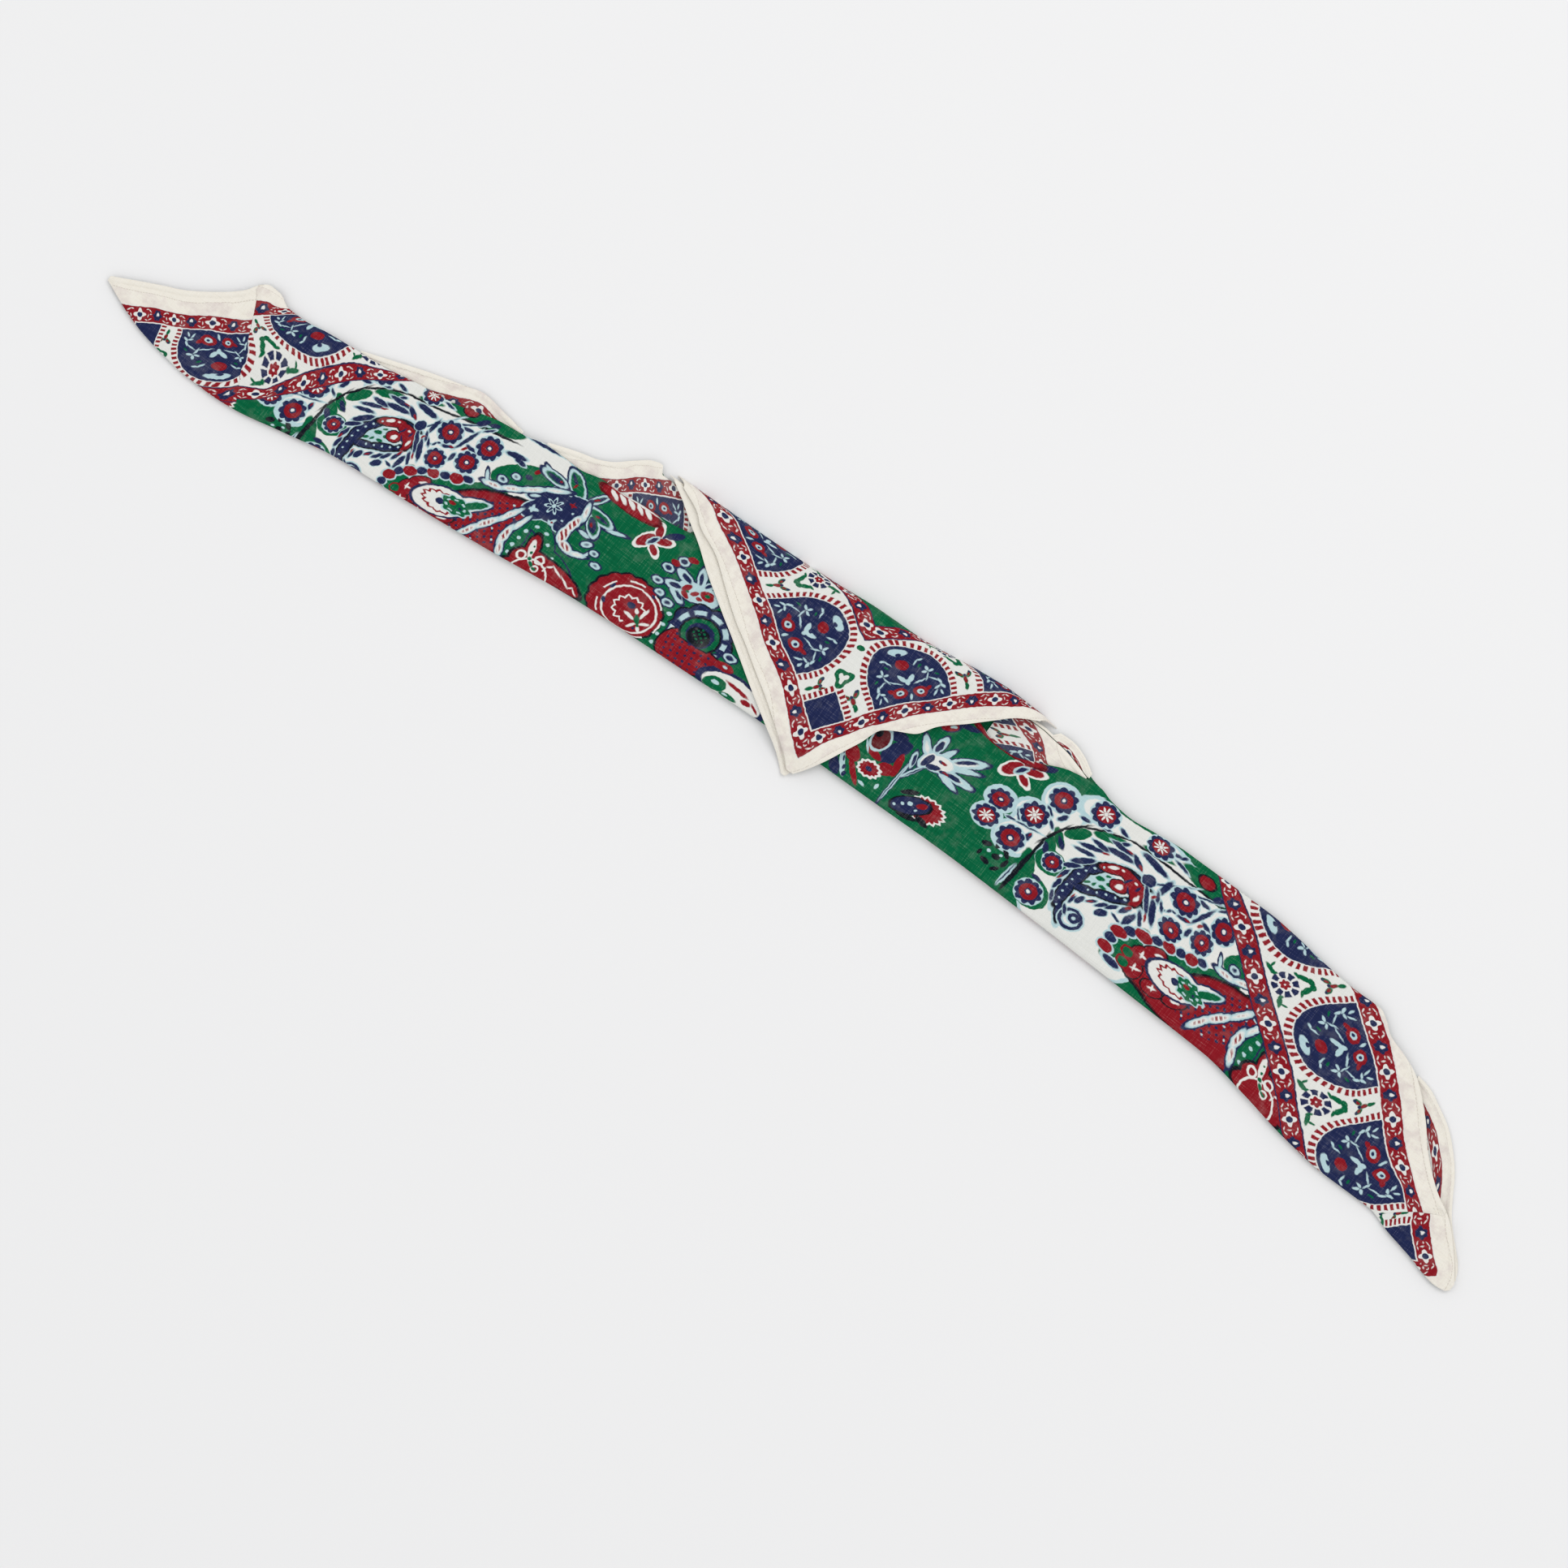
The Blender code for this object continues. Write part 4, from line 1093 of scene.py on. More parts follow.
class FieldPrint:
    """The field's repeat: flowers, leaves and paisleys of an ordinary kind, on green and white.

    Rows of ovals give x along the repeat, y out from the fold, degrees, half length, half width.
    """

    berries_red: Rows = (
        (-227.2, 6, 20, 2.9, 2.3), (-228, -3, 0, 2.6, 2.3), (-220.4, 12.2, 10, 3.2, 2.3),
        (-211.6, 16.8, -5, 3, 2.2), (-201.4, 20, 5, 3.1, 2.5),
    )
    berries_navy: Rows = (
        (-228.2, 1.6, 0, 2, 2), (-224.6, 9.6, 40, 2.2, 1.9), (-216.2, 15, 20, 2.3, 1.8),
        (-206.4, 18.6, 10, 2.4, 1.9), (-197, 22.2, 0, 2.4, 1.7), (-224, -6.5, 0, 3, 1.6),
    )
    blossoms: Rows = (
        (-216.2, 36.8, 5.6), (-214.8, 22.9, 4.8), (-202.2, 28.6, 5.2), (-197.6, 39.4, 5.8),
        (-261, 14, 4.2), (-261.6, -3.2, 5.6), (-279.6, 12.4, 5.8), (-291, 24.6, 4.8),
        (-271.6, 40, 5.8),
    )
    starry_blossoms: Rows = (
        (-255.4, 45.6, 5.8), (-232.2, 47.6, 4.8), (-277.4, 27.2, 5.8), (-291.8, 15, 5),
    )
    rings: Rows = (
        (-96, 39.2, 0, 2.6, 1.9), (-100.2, 33.2, 0, 2.8, 1.9), (-100.8, 26, 0, 2.5, 1.6),
        (-97, 21.6, 0, 2.2, 1.5), (-91.4, 19.4, 0, 2.6, 1.7), (-136.2, 22.8, 20, 2.5, 1.4),
        (-131, 20.8, 0, 2, 1.5), (-127.4, 16.2, 0, 2.4, 1.4), (-57.6, 13, 0, 2.8, 1.9),
        (-184.6, 30.4, 0, 2.3, 1.6), (-180.2, 34.4, 0, 2, 1.4),
    )

    def stretch(self, first: float, last: float) -> bpy.types.NodeTree:
        """Builds a stretch of the field as a node group, with a group in it for each motif.

        Args:
            first: Where the stretch starts on the repeat.
            last: Where it ends.

        Returns:
            The group.
        """
        tree, entry, leave = new_group(
            f"field_from_{first:.0f}", [("Spot", "Vector")], [("Color", "Color")]
        )
        sheet = ShaderTree(tree)
        spot, colour = sheet.out(entry), Dye.GREEN.value
        for motif in (
            self.ground, self.stem, self.sprigs, self.lily, self.thistles, self.pods,
            self.small_paisley, self.feathers, self.berry_row, self.large_paisley, self.leaf_drop,
            self.scroll, self.fleur_drop, self.tulip, self.claws, self.blossom_groups,
            self.medallion, self.lotus, self.dark_scallops, self.low_paisley, self.buds,
            self.combed_leaves, self.drop_rings, self.under_flap,
        ):
            screen = self.screen(motif, (first, last))
            if screen is not None:
                node = sheet.node("ShaderNodeGroup", {"node_tree": screen}, {0: spot, 1: colour})
                colour = sheet.out(node)
        tree.links.new(colour.socket, leave.inputs["Color"])
        return tree

    def screen(self, motif: Motif, stretch: tuple[float, float]) -> bpy.types.NodeTree | None:
        """Builds one motif as a group that prints over a colour.

        Args:
            motif: The method that draws it.
            stretch: First and last x of what is printed.

        Returns:
            The group, or nothing where the motif is beyond the stretch.
        """
        tree, entry, leave = new_group(
            motif.__name__, [("Spot", "Vector"), ("Under", "Color")], [("Color", "Color")]
        )
        sheet = ShaderTree(tree, stretch)
        under = sheet.out(entry, 1)
        press = Press(sheet, under, sheet.out(entry, 0))
        motif(press)
        if press.colour is under:
            bpy.data.node_groups.remove(tree)
            return None
        tree.links.new(press.colour.socket, leave.inputs["Color"])
        return tree

    def ground(self, press: Press) -> None:
        """White ground with a light blue edge, and the green over it."""
        press.blots([(Dye.LIGHT_BLUE, 0), (Dye.WHITE, -1.3)], (
            (-240, 12, 90, 38, 28), (-205, 34, 0, 46, 19), (-178, 47, 0, 19, 11),
            (-291.6, 15.2, 0, 6.2, 6), (-291, 24.8, 0, 6.4, 6.4), (-279.8, 13, 0, 7.8, 8),
            (-277.5, 27, 0, 9, 7.5), (-272, 39.5, 0, 8.2, 8.4), (-268, 30, 60, 13, 7.5),
            (-255.5, 46, 10, 12, 6.6), (-236, 48, 0, 18, 6), (-276, 19, 80, 14, 9),
        ))
        press.blots(Dye.GREEN, (
            (-205.5, 50.4, 6, 18.5, 4.9), (-177, 35.4, 24, 14.5, 6.6), (-246, 51.5, -2, 14, 1.6),
            (-224, 4, 72, 12, 3.6), (-212, 12, 36, 9, 2.6), (-199, 17.4, 22, 10, 3),
            (-187, 22.4, 20, 9, 3.4),
        ))

    def stem(self, press: Press) -> None:
        """The long dark stem, its leaves and the pods at its foot."""
        press.blots(Dye.GREEN, (
            (-259.6, 31.2, 42, 5.6, 2.6), (-248.4, 37.8, 16, 7, 2.1), (-264.4, 24.8, -48, 5, 2),
            (-265.4, 19.4, -62, 5.6, 2.4), (-261.6, 13.6, -12, 6.6, 5.6), (-267.4, 4.5, -66, 10, 3.4),
            (-261.6, -2.6, -20, 8.6, 7), (-231.5, 44.4, 12, 6, 1.3),
        ))
        press.blots(Dye.NAVY, (
            (-262.6, 23.4, -48, 3.2, 1.1), (-266.4, 17.6, -60, 2.8, 1.2), (-262.4, 4.2, -10, 2.2, 1),
        ))
        press.blots(Dye.BLACK, (
            (-270.4, 1, 86, 11.2, 1.19), (-269.2, 13, 87, 11.2, 0.77), (-267, 25, 66, 8.3, 0.66),
            (-261.8, 32.8, 48, 7.1, 0.59), (-254.8, 37.6, 28, 7.1, 0.56), (-246.2, 40.8, 14, 7.3, 0.52),
            (-236.6, 42.2, 4, 8.3, 0.52), (-226, 43.2, 7, 9.4, 0.56), (-212, 45.4, 8, 11.8, 0.63),
            (-198, 46.9, 5, 10.6, 0.63),
        ))
        press.blots(Dye.LIGHT_BLUE, ((-272.6, -2.5, 84, 6.5, 1.2),))
        press.blots(Dye.NAVY, ((-272.7, -2.5, 84, 6, 0.35),))

    def pods(self, press: Press) -> None:
        """Dark curls beside the stem, and the berry in its leaf above it."""
        press.blots(Dye.BLACK, (
            (-285.4, 4.4, 20, 2, 1.3), (-281.4, 6.6, 80, 1.8, 1.1), (-277, 5, -40, 2.2, 1.1),
            (-279.8, 1.6, 10, 1.8, 1.4), (-275.4, 1, 80, 2.4, 1), (-282.4, -2.6, -20, 2.2, 1.2),
            (-277.6, -3.4, 50, 2, 1), (-286, -0.4, 70, 1.6, 0.8),
        ))
        press.blots(Dye.LIGHT_BLUE, (
            (-283.2, 2.2, 0, 0.8, 0.7), (-278.4, 3.2, 0, 0.7, 0.6),
        ))
        press.blots([(Dye.BLACK, 0.7), (Dye.RED, 0)], ((-214.2, 50, 8, 3.3, 2.4),))
        press.blots(Dye.NAVY, (
            (-206.6, 48.2, 40, 3.2, 1.4), (-201.6, 49.6, 20, 2.4, 1.2),
        ))

    def sprigs(self, press: Press) -> None:
        """Thin navy branches and small leaves on the white ground."""
        press.blots([(Dye.LIGHT_BLUE, 0.4), (Dye.NAVY, 0)], (
            (-245.6, 43.2, -20, 2.4, 0.9), (-252.4, 40.4, 0, 2.4, 0.8), (-242.6, 39.2, 30, 1.7, 0.8),
            (-260.6, 38.6, 0, 2.2, 0.9), (-267.8, 33.2, 60, 2.4, 1.1), (-273.4, 32.6, -40, 2.4, 0.8),
            (-270, 28, -45, 2.2, 0.7), (-282.2, 23.6, -58, 2.6, 1), (-277, 20.8, 8, 5, 0.5),
            (-274.4, 17.2, 82, 2.4, 1.2), (-284, 20, 8, 1.9, 0.6), (-227.4, 49.2, 30, 2.6, 0.7),
            (-223.6, 47.2, -10, 2.6, 0.7), (-224.6, 50.6, 50, 1.6, 0.6), (-223, 37.4, 47, 8, 0.45),
            (-212, 43.6, 28, 7.5, 0.4), (-230.4, 39.8, -8, 5.2, 1.5), (-223.8, 35, 82, 4.2, 1),
            (-210.4, 41.9, 4, 2.8, 0.9), (-208, 37.6, 68, 6.4, 0.9), (-203.6, 34.6, -16, 3.4, 1.1),
            (-213.4, 30.6, 18, 2.8, 0.9), (-209.2, 27.4, 82, 2.4, 1), (-219, 28.6, 60, 1.2, 0.5),
            (-220.8, 26.8, 60, 1, 0.4), (-217.6, 29.8, 10, 0.9, 0.5), (-202.4, 46.2, 40, 2.6, 0.6),
            (-185.6, 42.6, 8, 4.8, 1.3), (-182.6, 41, -12, 3, 1.1), (-177.5, 53.2, 0, 8, 0.9),
        ))
        press.blots(Dye.RED, (
            (-206.8, 33.4, 50, 1.5, 0.7), (-206.2, 47.8, 0, 1, 0.6), (-212, 31.2, 15, 1.3, 0.5),
            (-173.4, 41.2, 50, 1.8, 1), (-274.2, 18.6, 80, 1, 0.4),
        ))

    def small_paisley(self, press: Press) -> None:
        """The small paisley: a dotted navy hook round red lobes and a light blue heart."""
        hook = press.outside((
            (-248.4, -2.5, 112, 6, 1.7), (-250.9, 6.5, 90, 9, 2.7), (-249.9, 15.5, 78, 7.5, 2.9),
            (-246.2, 22.6, 52, 6.5, 2.4), (-239.8, 28, 26, 7, 1.6), (-232, 30, -4, 5.6, 1.3),
            (-227.6, 25.6, -74, 5.6, 1.4), (-230.6, 18.6, 46, 4.4, 1.5), (-237, 14.9, 22, 6.8, 2.1),
            (-245, 11.9, 14, 6, 2),
        ))
        heart = press.outside(((-241.4, 18.8, 28, 8.4, 4.4), (-246, 14.8, 40, 4, 1.6)))
        press.lay(Dye.LIGHT_BLUE, hook - 0.8)
        press.lay(Dye.LIGHT_BLUE, heart)
        press.blots(Dye.GREEN, (
            (-242.6, 19.8, 20, 1.9, 1.1), (-240, 16.9, 10, 1.6, 0.9), (-246, 15.4, 30, 1.6, 0.7),
            (-243.4, 16.2, 60, 1.1, 0.6), (-238.8, 19.6, 0, 1.1, 0.8), (-244.6, 13.6, 10, 1.6, 0.5),
            (-240.6, 22.6, 30, 1.2, 0.6),
        ))
        press.lay(Dye.BLACK, hook - 0.15)
        press.lay(Dye.NAVY, hook + 0.45)
        press.blots([(Dye.BLACK, 0.25), (Dye.RED, -0.2)], (
            (-240.2, 27, 24, 6.8, 2.3), (-232.4, 27.2, -8, 5.4, 2.6), (-229.2, 23.4, -78, 5, 2.3),
            (-235.8, 21.6, 10, 3.4, 2.9), (-231.2, 24.4, 0, 3.6, 2.6), (-229, 19.6, 70, 2.4, 1),
        ))
        press.blots(Dye.NAVY, (
            (-234, 26.2, 60, 2, 0.5), (-230, 26.2, 80, 1.4, 0.5), (-232.4, 22.8, -60, 1.6, 0.4),
        ))
        press.blots(Dye.WHITE, (
            (-241, 27.4, 30, 2, 0.8), (-235.4, 21.6, 50, 1.6, 1.1), (-228.8, 22.4, 80, 1.8, 0.6),
            (-231.4, 27.4, 0, 0.7, 0.5), (-237.6, 28.6, 20, 0.7, 0.5),
        ))
        press.blots(Dye.LIGHT_BLUE, (
            (-251, 2.6, 0, 0.5, 0.5), (-251.4, 6, 0, 0.5, 0.5), (-251.5, 9.4, 0, 0.5, 0.5),
            (-251.2, 12.8, 0, 0.5, 0.5), (-250.4, 16.2, 0, 0.5, 0.5), (-248.8, 19.4, 0, 0.5, 0.5),
            (-246.6, 22.4, 0, 0.6, 0.5), (-244, 25, 0, 0.5, 0.5), (-243.8, 12.6, 0, 0.5, 0.5),
            (-240.6, 13.8, 0, 0.5, 0.5), (-237.4, 15.2, 0, 0.5, 0.5), (-234.2, 16.6, 0, 0.5, 0.5),
            (-231.4, 18.6, 0, 0.5, 0.5), (-250.2, -0.8, 0, 0.4, 0.5),
        ))
        tail = press.hoops(((-242.6, -3, 4.2, 0.7), (-241.6, -2, 1.6, 0.8)))
        press.lay(Dye.LIGHT_BLUE, tail - 0.7)
        press.lay(Dye.NAVY, tail)

    def feathers(self, press: Press) -> None:
        """Small leaves all round the small paisley, some with a red tip."""
        press.blots([(Dye.LIGHT_BLUE, 0.3), (Dye.NAVY, 0)], (
            (-242.8, 37, -6, 5, 1.1), (-241.8, 33.9, 4, 5.6, 1.4), (-249.8, 32.6, -8, 4, 1.1),
            (-252.2, 29.6, 14, 5, 1.1), (-253.6, 26.2, 8, 4.4, 1), (-251.8, 22.4, 38, 5, 1.4),
            (-254.4, 17.8, 32, 3.8, 1.1), (-255, 12.6, 72, 3.2, 1), (-254.8, 7.4, 80, 2.8, 1),
            (-253.8, 1.6, -70, 2.6, 0.9), (-235.2, 35.6, -36, 3.4, 1.2), (-229, 32.4, 64, 2.8, 2.2),
            (-226.2, 25, -66, 6, 0.9), (-222.8, 22.6, -68, 5.4, 1.2), (-224.6, 16.6, -68, 3.4, 0.8),
            (-227, 13, 78, 3.8, 1.2), (-229.6, 14.8, 66, 2.8, 0.9), (-233.4, 12.2, 56, 2.6, 0.9),
            (-236.6, 10.2, 48, 2.8, 0.9), (-240.4, 9, 42, 2.2, 0.8), (-244.2, 6.6, 66, 2.4, 1.3),
            (-235.2, 7.2, 48, 2.6, 1.5), (-230.4, 9.6, -20, 1.8, 0.7), (-246.6, 5, 80, 2.2, 0.7),
            (-246.6, -0.6, -60, 2.4, 0.7), (-224, 29.6, -70, 2.4, 0.7), (-221.6, 27.6, -60, 2.2, 0.6),
        ))
        press.blots(Dye.RED, (
            (-246.6, 30.6, 20, 1.6, 0.5), (-239.4, 37.4, 0, 1.4, 0.4), (-233.2, 34.4, -40, 1.4, 0.6),
            (-255.6, 10.4, 70, 1.3, 0.5), (-225, 28.4, 70, 1.2, 0.5), (-223.6, 18.6, -70, 1.6, 0.5),
            (-229, 16.8, 66, 1.5, 0.5), (-247.2, 6.6, 80, 1.3, 0.4), (-240.8, 8.6, 42, 1.2, 0.4),
        ))

    def berry_row(self, press: Press) -> None:
        """Red and navy berries by turns along the back of the large paisley."""
        navy, red = press.outside(self.berries_navy), press.outside(self.berries_red)
        press.lay(Dye.LIGHT_BLUE, navy.least(red) - 0.7)
        press.lay(Dye.NAVY, navy)
        press.lay(Dye.RED, red)

    def large_paisley(self, press: Press) -> None:
        """The large red paisley, dotted with navy, with red flowers at its head."""
        body = press.outside((
            (-197, 4, 14, 24, 9.6), (-184, 13, 26, 19, 9.5), (-172, 9, 90, 17, 8.5),
            (-188, -2, 0, 28, 8), (-178, 19.6, 26, 14, 4.2),
        ))
        press.lay(Dye.BLACK, body - 0.9)
        press.lay(Dye.DARK_RED, body)
        press.lay(Dye.RED, body + 0.6)
        lattice = press.lattice(3.1, 2.7, 32)
        bounds = press.outside(((-178, 10, 35, 20, 10),))
        press.lay(Dye.NAVY, (lattice - 0.62).most(body + 1.3).most(bounds))
        pale = press.lattice(9.3, 5.4, 32)
        press.lay(Dye.LIGHT_BLUE, (pale - 0.5).most(body + 1.3).most(bounds))
        press.blots([(Dye.BLACK, 0.5), (Dye.RED, 0)], (
            (-217.6, 5, 60, 4.6, 3.4), (-217.4, -1.8, 80, 4.2, 3.4), (-207.4, -2.6, 10, 5, 3),
            (-196.6, 0.6, 30, 5.6, 2.6), (-214, 10.4, 30, 4.6, 2.4),
        ))
        press.blots(Dye.WHITE, (
            (-217, 5.4, 0, 1.5, 0.5), (-217.6, 5.6, 90, 1.7, 0.5), (-216.6, -1.2, 30, 2, 0.5),
            (-217.4, -1, 100, 1.7, 0.5), (-207.6, -2.4, 20, 2, 0.5), (-207.4, -2.2, 110, 1.4, 0.5),
            (-196.4, 0.6, 20, 2.2, 0.6), (-212.6, 10.6, 30, 1.8, 0.6),
        ))
        press.blots([(Dye.RED, 0.8), (Dye.GREEN, 0), (Dye.RED, -1.1)], (
            (-221.6, 2, 0, 1.9, 1.9), (-221.2, -2.6, 0, 1.9, 1.9),
        ))

    def leaf_drop(self, press: Press) -> None:
        """A pale drop in the large paisley, with a red zigzag and a green leaf in it."""
        drop = press.outside(((-201.5, 7.2, 12, 12.5, 6.6), (-190.5, 11.8, 30, 9.5, 3.2)))
        press.lay(Dye.NAVY, drop - 0.9)
        press.lay(Dye.WHITE, drop)
        away, turn = press.turn_about(-201.2, 7, 9.6, 4.9)
        notch = teeth(turn, 13) * 0.36
        press.lay(Dye.RED, (abs(away - 0.78 - notch) * 5.5 - 0.42).most(drop + 0.6))
        away, turn = press.turn_about(-194.4, 8.8, 7.6, 4.1)
        leaf = (away - 0.92 - (turn * 9).cosine() * 0.09) * 4.2
        tip = press.outside(((-187, 13.4, 34, 5.6, 1.7),))
        press.lay(Dye.LIGHT_BLUE, leaf.least(tip) - 0.6)
        press.lay(Dye.GREEN, leaf.least(tip))
        press.lay(Dye.LIGHT_BLUE, (abs(away - 0.62) * 4.2 - 0.3).most(0.0 - (turn * 7).cosine()))
        press.blots(Dye.RED, ((-196.4, 9.4, 0, 1.7, 0.9),))
        press.blots(Dye.NAVY, ((-201.6, 7.3, 0, 1.9, 1.5), (-191.8, 8.6, 0, 0.8, 0.6)))

    def scroll(self, press: Press) -> None:
        """A green scroll with pale dots between the large paisley and the next drop."""
        press.blots([(Dye.NAVY, 0.7), (Dye.GREEN, 0)], (
            (-163, 6, 90, 15, 3.2), (-157.6, 19.4, -18, 7, 3.4), (-150.6, 14.2, -52, 8, 3),
            (-142, 9, -22, 8, 2.2),
        ))
        press.blots(Dye.LIGHT_BLUE, (
            (-163.2, 2.6, 0, 0.9, 0.8), (-163.4, 6.6, 0, 1, 0.9), (-162.8, 10.8, 0, 0.9, 0.8),
            (-161.8, 15, 0, 1, 0.9), (-158.8, 19, 0, 1.1, 0.8), (-153.6, 18.2, 0, 1, 0.8),
            (-150.2, 13.8, 0, 0.9, 0.7), (-145, 9.6, 0, 0.7, 0.6), (-163.2, -1.8, 0, 0.9, 0.8),
        ))

    def fleur_drop(self, press: Press) -> None:
        """The red drop at the fold, with a pale fleur standing in it."""
        press.blots([(Dye.BLACK, 0.9), (Dye.RED, 0)], (
            (-151.5, 3, 0, 10, 6.2), (-154.8, 9.6, 100, 6.4, 2.9), (-139, 3, -14, 14, 4.2),
            (-150, -2.5, 0, 13, 6),
        ))
        hoops = press.hoops((
            (-157.4, 4.4, 1.9, 0.5), (-149, 6, 1.9, 0.5), (-150, -3.5, 8.6, 0.45),
            (-148.6, 1.4, 1.4, 0.4),
        ))
        press.lay(Dye.WHITE, hoops.least(press.outside((
            (-154.8, 9, 104, 4.6, 1.5), (-153, 4.4, -50, 3.6, 1), (-139.6, 5.2, -30, 3.2, 0.5),
            (-134, 2.6, -34, 3.4, 0.5), (-145, 3.2, 70, 1.2, 0.5), (-130.6, 1.6, 30, 1.3, 0.5),
            (-143.4, 5.6, 30, 1.5, 0.5), (-128, 0.6, -40, 2, 0.4),
        ))))
        press.blots(Dye.GREEN, (
            (-154, 7.2, 104, 0.7, 0.7), (-153.2, 4.6, 0, 1.1, 0.8), (-151.4, 2.6, -40, 1.6, 0.8),
            (-149, 1.2, -20, 1.4, 0.6), (-154.6, 10.4, 0, 0.5, 0.5),
        ))

    def tulip(self, press: Press) -> None:
        """The navy tulip and its pale-edged leaves."""
        cup = press.outside((
            (-157, 31.6, 8, 10.5, 8.4), (-150.4, 36, 20, 6, 4.2), (-164, 25.6, 28, 6.4, 4.6),
            (-150, 26, 60, 5, 3.6), (-166, 32.6, 28, 6, 2.6),
        ))
        press.blots([(Dye.NAVY, 0.7), (Dye.LIGHT_BLUE, 0), (Dye.GREEN, -0.62)], (
            (-165.6, 42.6, -10, 7.4, 2.4), (-155.6, 44.6, -42, 8.4, 3.2), (-138.6, 36.4, -14, 8.2, 2.7),
            (-139, 31.6, -52, 6.4, 2.9), (-128.6, 33.8, 12, 4.4, 0.8), (-143.8, 43.2, 48, 5, 1.9),
            (-140, 26.4, -10, 3, 0.9), (-169.6, 44.4, -30, 3.2, 1),
        ))
        press.blots(Dye.NAVY, (
            (-165, 42.4, -10, 4.6, 1.1), (-139.2, 31.6, -52, 4, 1.6), (-143.6, 43.4, 48, 3.4, 0.8),
            (-158, 46.6, -42, 3, 0.8), (-137, 36, -14, 3.4, 0.7),
        ))
        press.blots(Dye.RED, (
            (-156, 43.8, 60, 1.1, 0.6), (-144.2, 42.8, 48, 1.4, 0.6), (-139.6, 36.2, 0, 0.9, 0.5),
            (-139.8, 31.6, -50, 1.2, 0.5), (-162.4, 42.2, 0, 0.7, 0.4), (-145.8, 40.4, 48, 1, 0.6),
        ))
        press.lay(Dye.LIGHT_BLUE, cup - 0.5)
        press.lay(Dye.NAVY, cup)
        away, turn = press.turn_about(-158.6, 31.2)
        star = away - 3.1 - (turn * 7).cosine() * 1.2
        press.lay(Dye.LIGHT_BLUE, star)
        press.lay(Dye.NAVY, star + 1)
        press.lay(Dye.LIGHT_BLUE, away - 0.9)
        press.blots(Dye.LIGHT_BLUE, (
            (-165.4, 25.2, 10, 2.6, 0.9), (-165.6, 25.4, 100, 2, 0.8), (-155, 24.2, 60, 2, 0.8),
            (-155.4, 23.4, -30, 1.7, 0.7), (-168.2, 31.2, 24, 2.2, 0.8), (-155.6, 39, 0, 1, 0.5),
            (-149.6, 32, 0, 0.5, 0.5), (-151.6, 27, 0, 0.6, 0.5),
        ))
        press.blots(Dye.RED, (
            (-151.6, 35.4, 0, 1.8, 0.6), (-151.6, 35.4, 90, 1.5, 0.5), (-155, 24, 0, 0.5, 0.5),
        ))

    def claws(self, press: Press) -> None:
        """Long pale claws with red dashes: on the tulip, in the paisley and by the eye."""
        claws = press.outside((
            (-162, 37.6, 22, 6.4, 1.3), (-170.6, 33, 30, 6.4, 1.4), (-178.6, 28.6, 24, 6, 1.5),
            (-186.6, 26, 6, 5.4, 1.6), (-191.2, 28.4, -60, 2.8, 0.8),
            (-145, 35.4, -78, 5, 1.5), (-146.6, 27.6, 76, 6, 2.2), (-147.4, 21.6, -84, 4.6, 2.6),
            (-143.6, 17.2, -22, 4.8, 2), (-137.2, 16.4, 14, 4.4, 1.3), (-133.8, 18.4, 70, 2.2, 0.7),
            (-183.8, 2, 60, 6.5, 1.7), (-178.6, 9.4, 52, 6.5, 1.8), (-172.4, 17.6, 58, 7, 1.4),
            (-165.8, 17, 70, 5.6, 1.3), (-168.6, 9, 86, 6, 1.9), (-167.2, 1.8, -72, 5, 1.7),
            (-82.4, 6, 102, 8, 1.9), (-66.6, 4.4, 56, 7.4, 1.7),
        ))
        dash = abs(press.way(38).repeat(1.9) - 0.95) - 0.52
        press.lay(Dye.NAVY, claws - 0.7)
        press.lay(Dye.LIGHT_BLUE, claws)
        press.lay(Dye.WHITE, claws + 0.45)
        press.lay(Dye.RED, dash.most(claws + 0.75))

    def blossom_groups(self, press: Press) -> None:
        """Round blossoms: scalloped navy, red within, and a white eye."""
        for rows, starry in ((self.blossoms, False), (self.starry_blossoms, True)):
            away, local = press.nearest(rows)
            turn = press.tree.direction(local)
            edge = (turn * 4.5).cosine()
            press.lay(Dye.LIGHT_BLUE, (away - 1.1) * 5)
            press.lay(Dye.NAVY, (away - 0.84 - abs(edge) * 0.2) * 5)
            press.lay(Dye.RED, (away - 0.66) * 5)
            if starry:
                press.lay(Dye.WHITE, (away - 0.36 - (turn * 8).cosine() * 0.2) * 5)
                press.lay(Dye.RED, (away - 0.17) * 5)
            else:
                press.lay(Dye.NAVY, (away - 0.26) * 5)
            press.lay(Dye.WHITE, (away - 0.14) * 5)

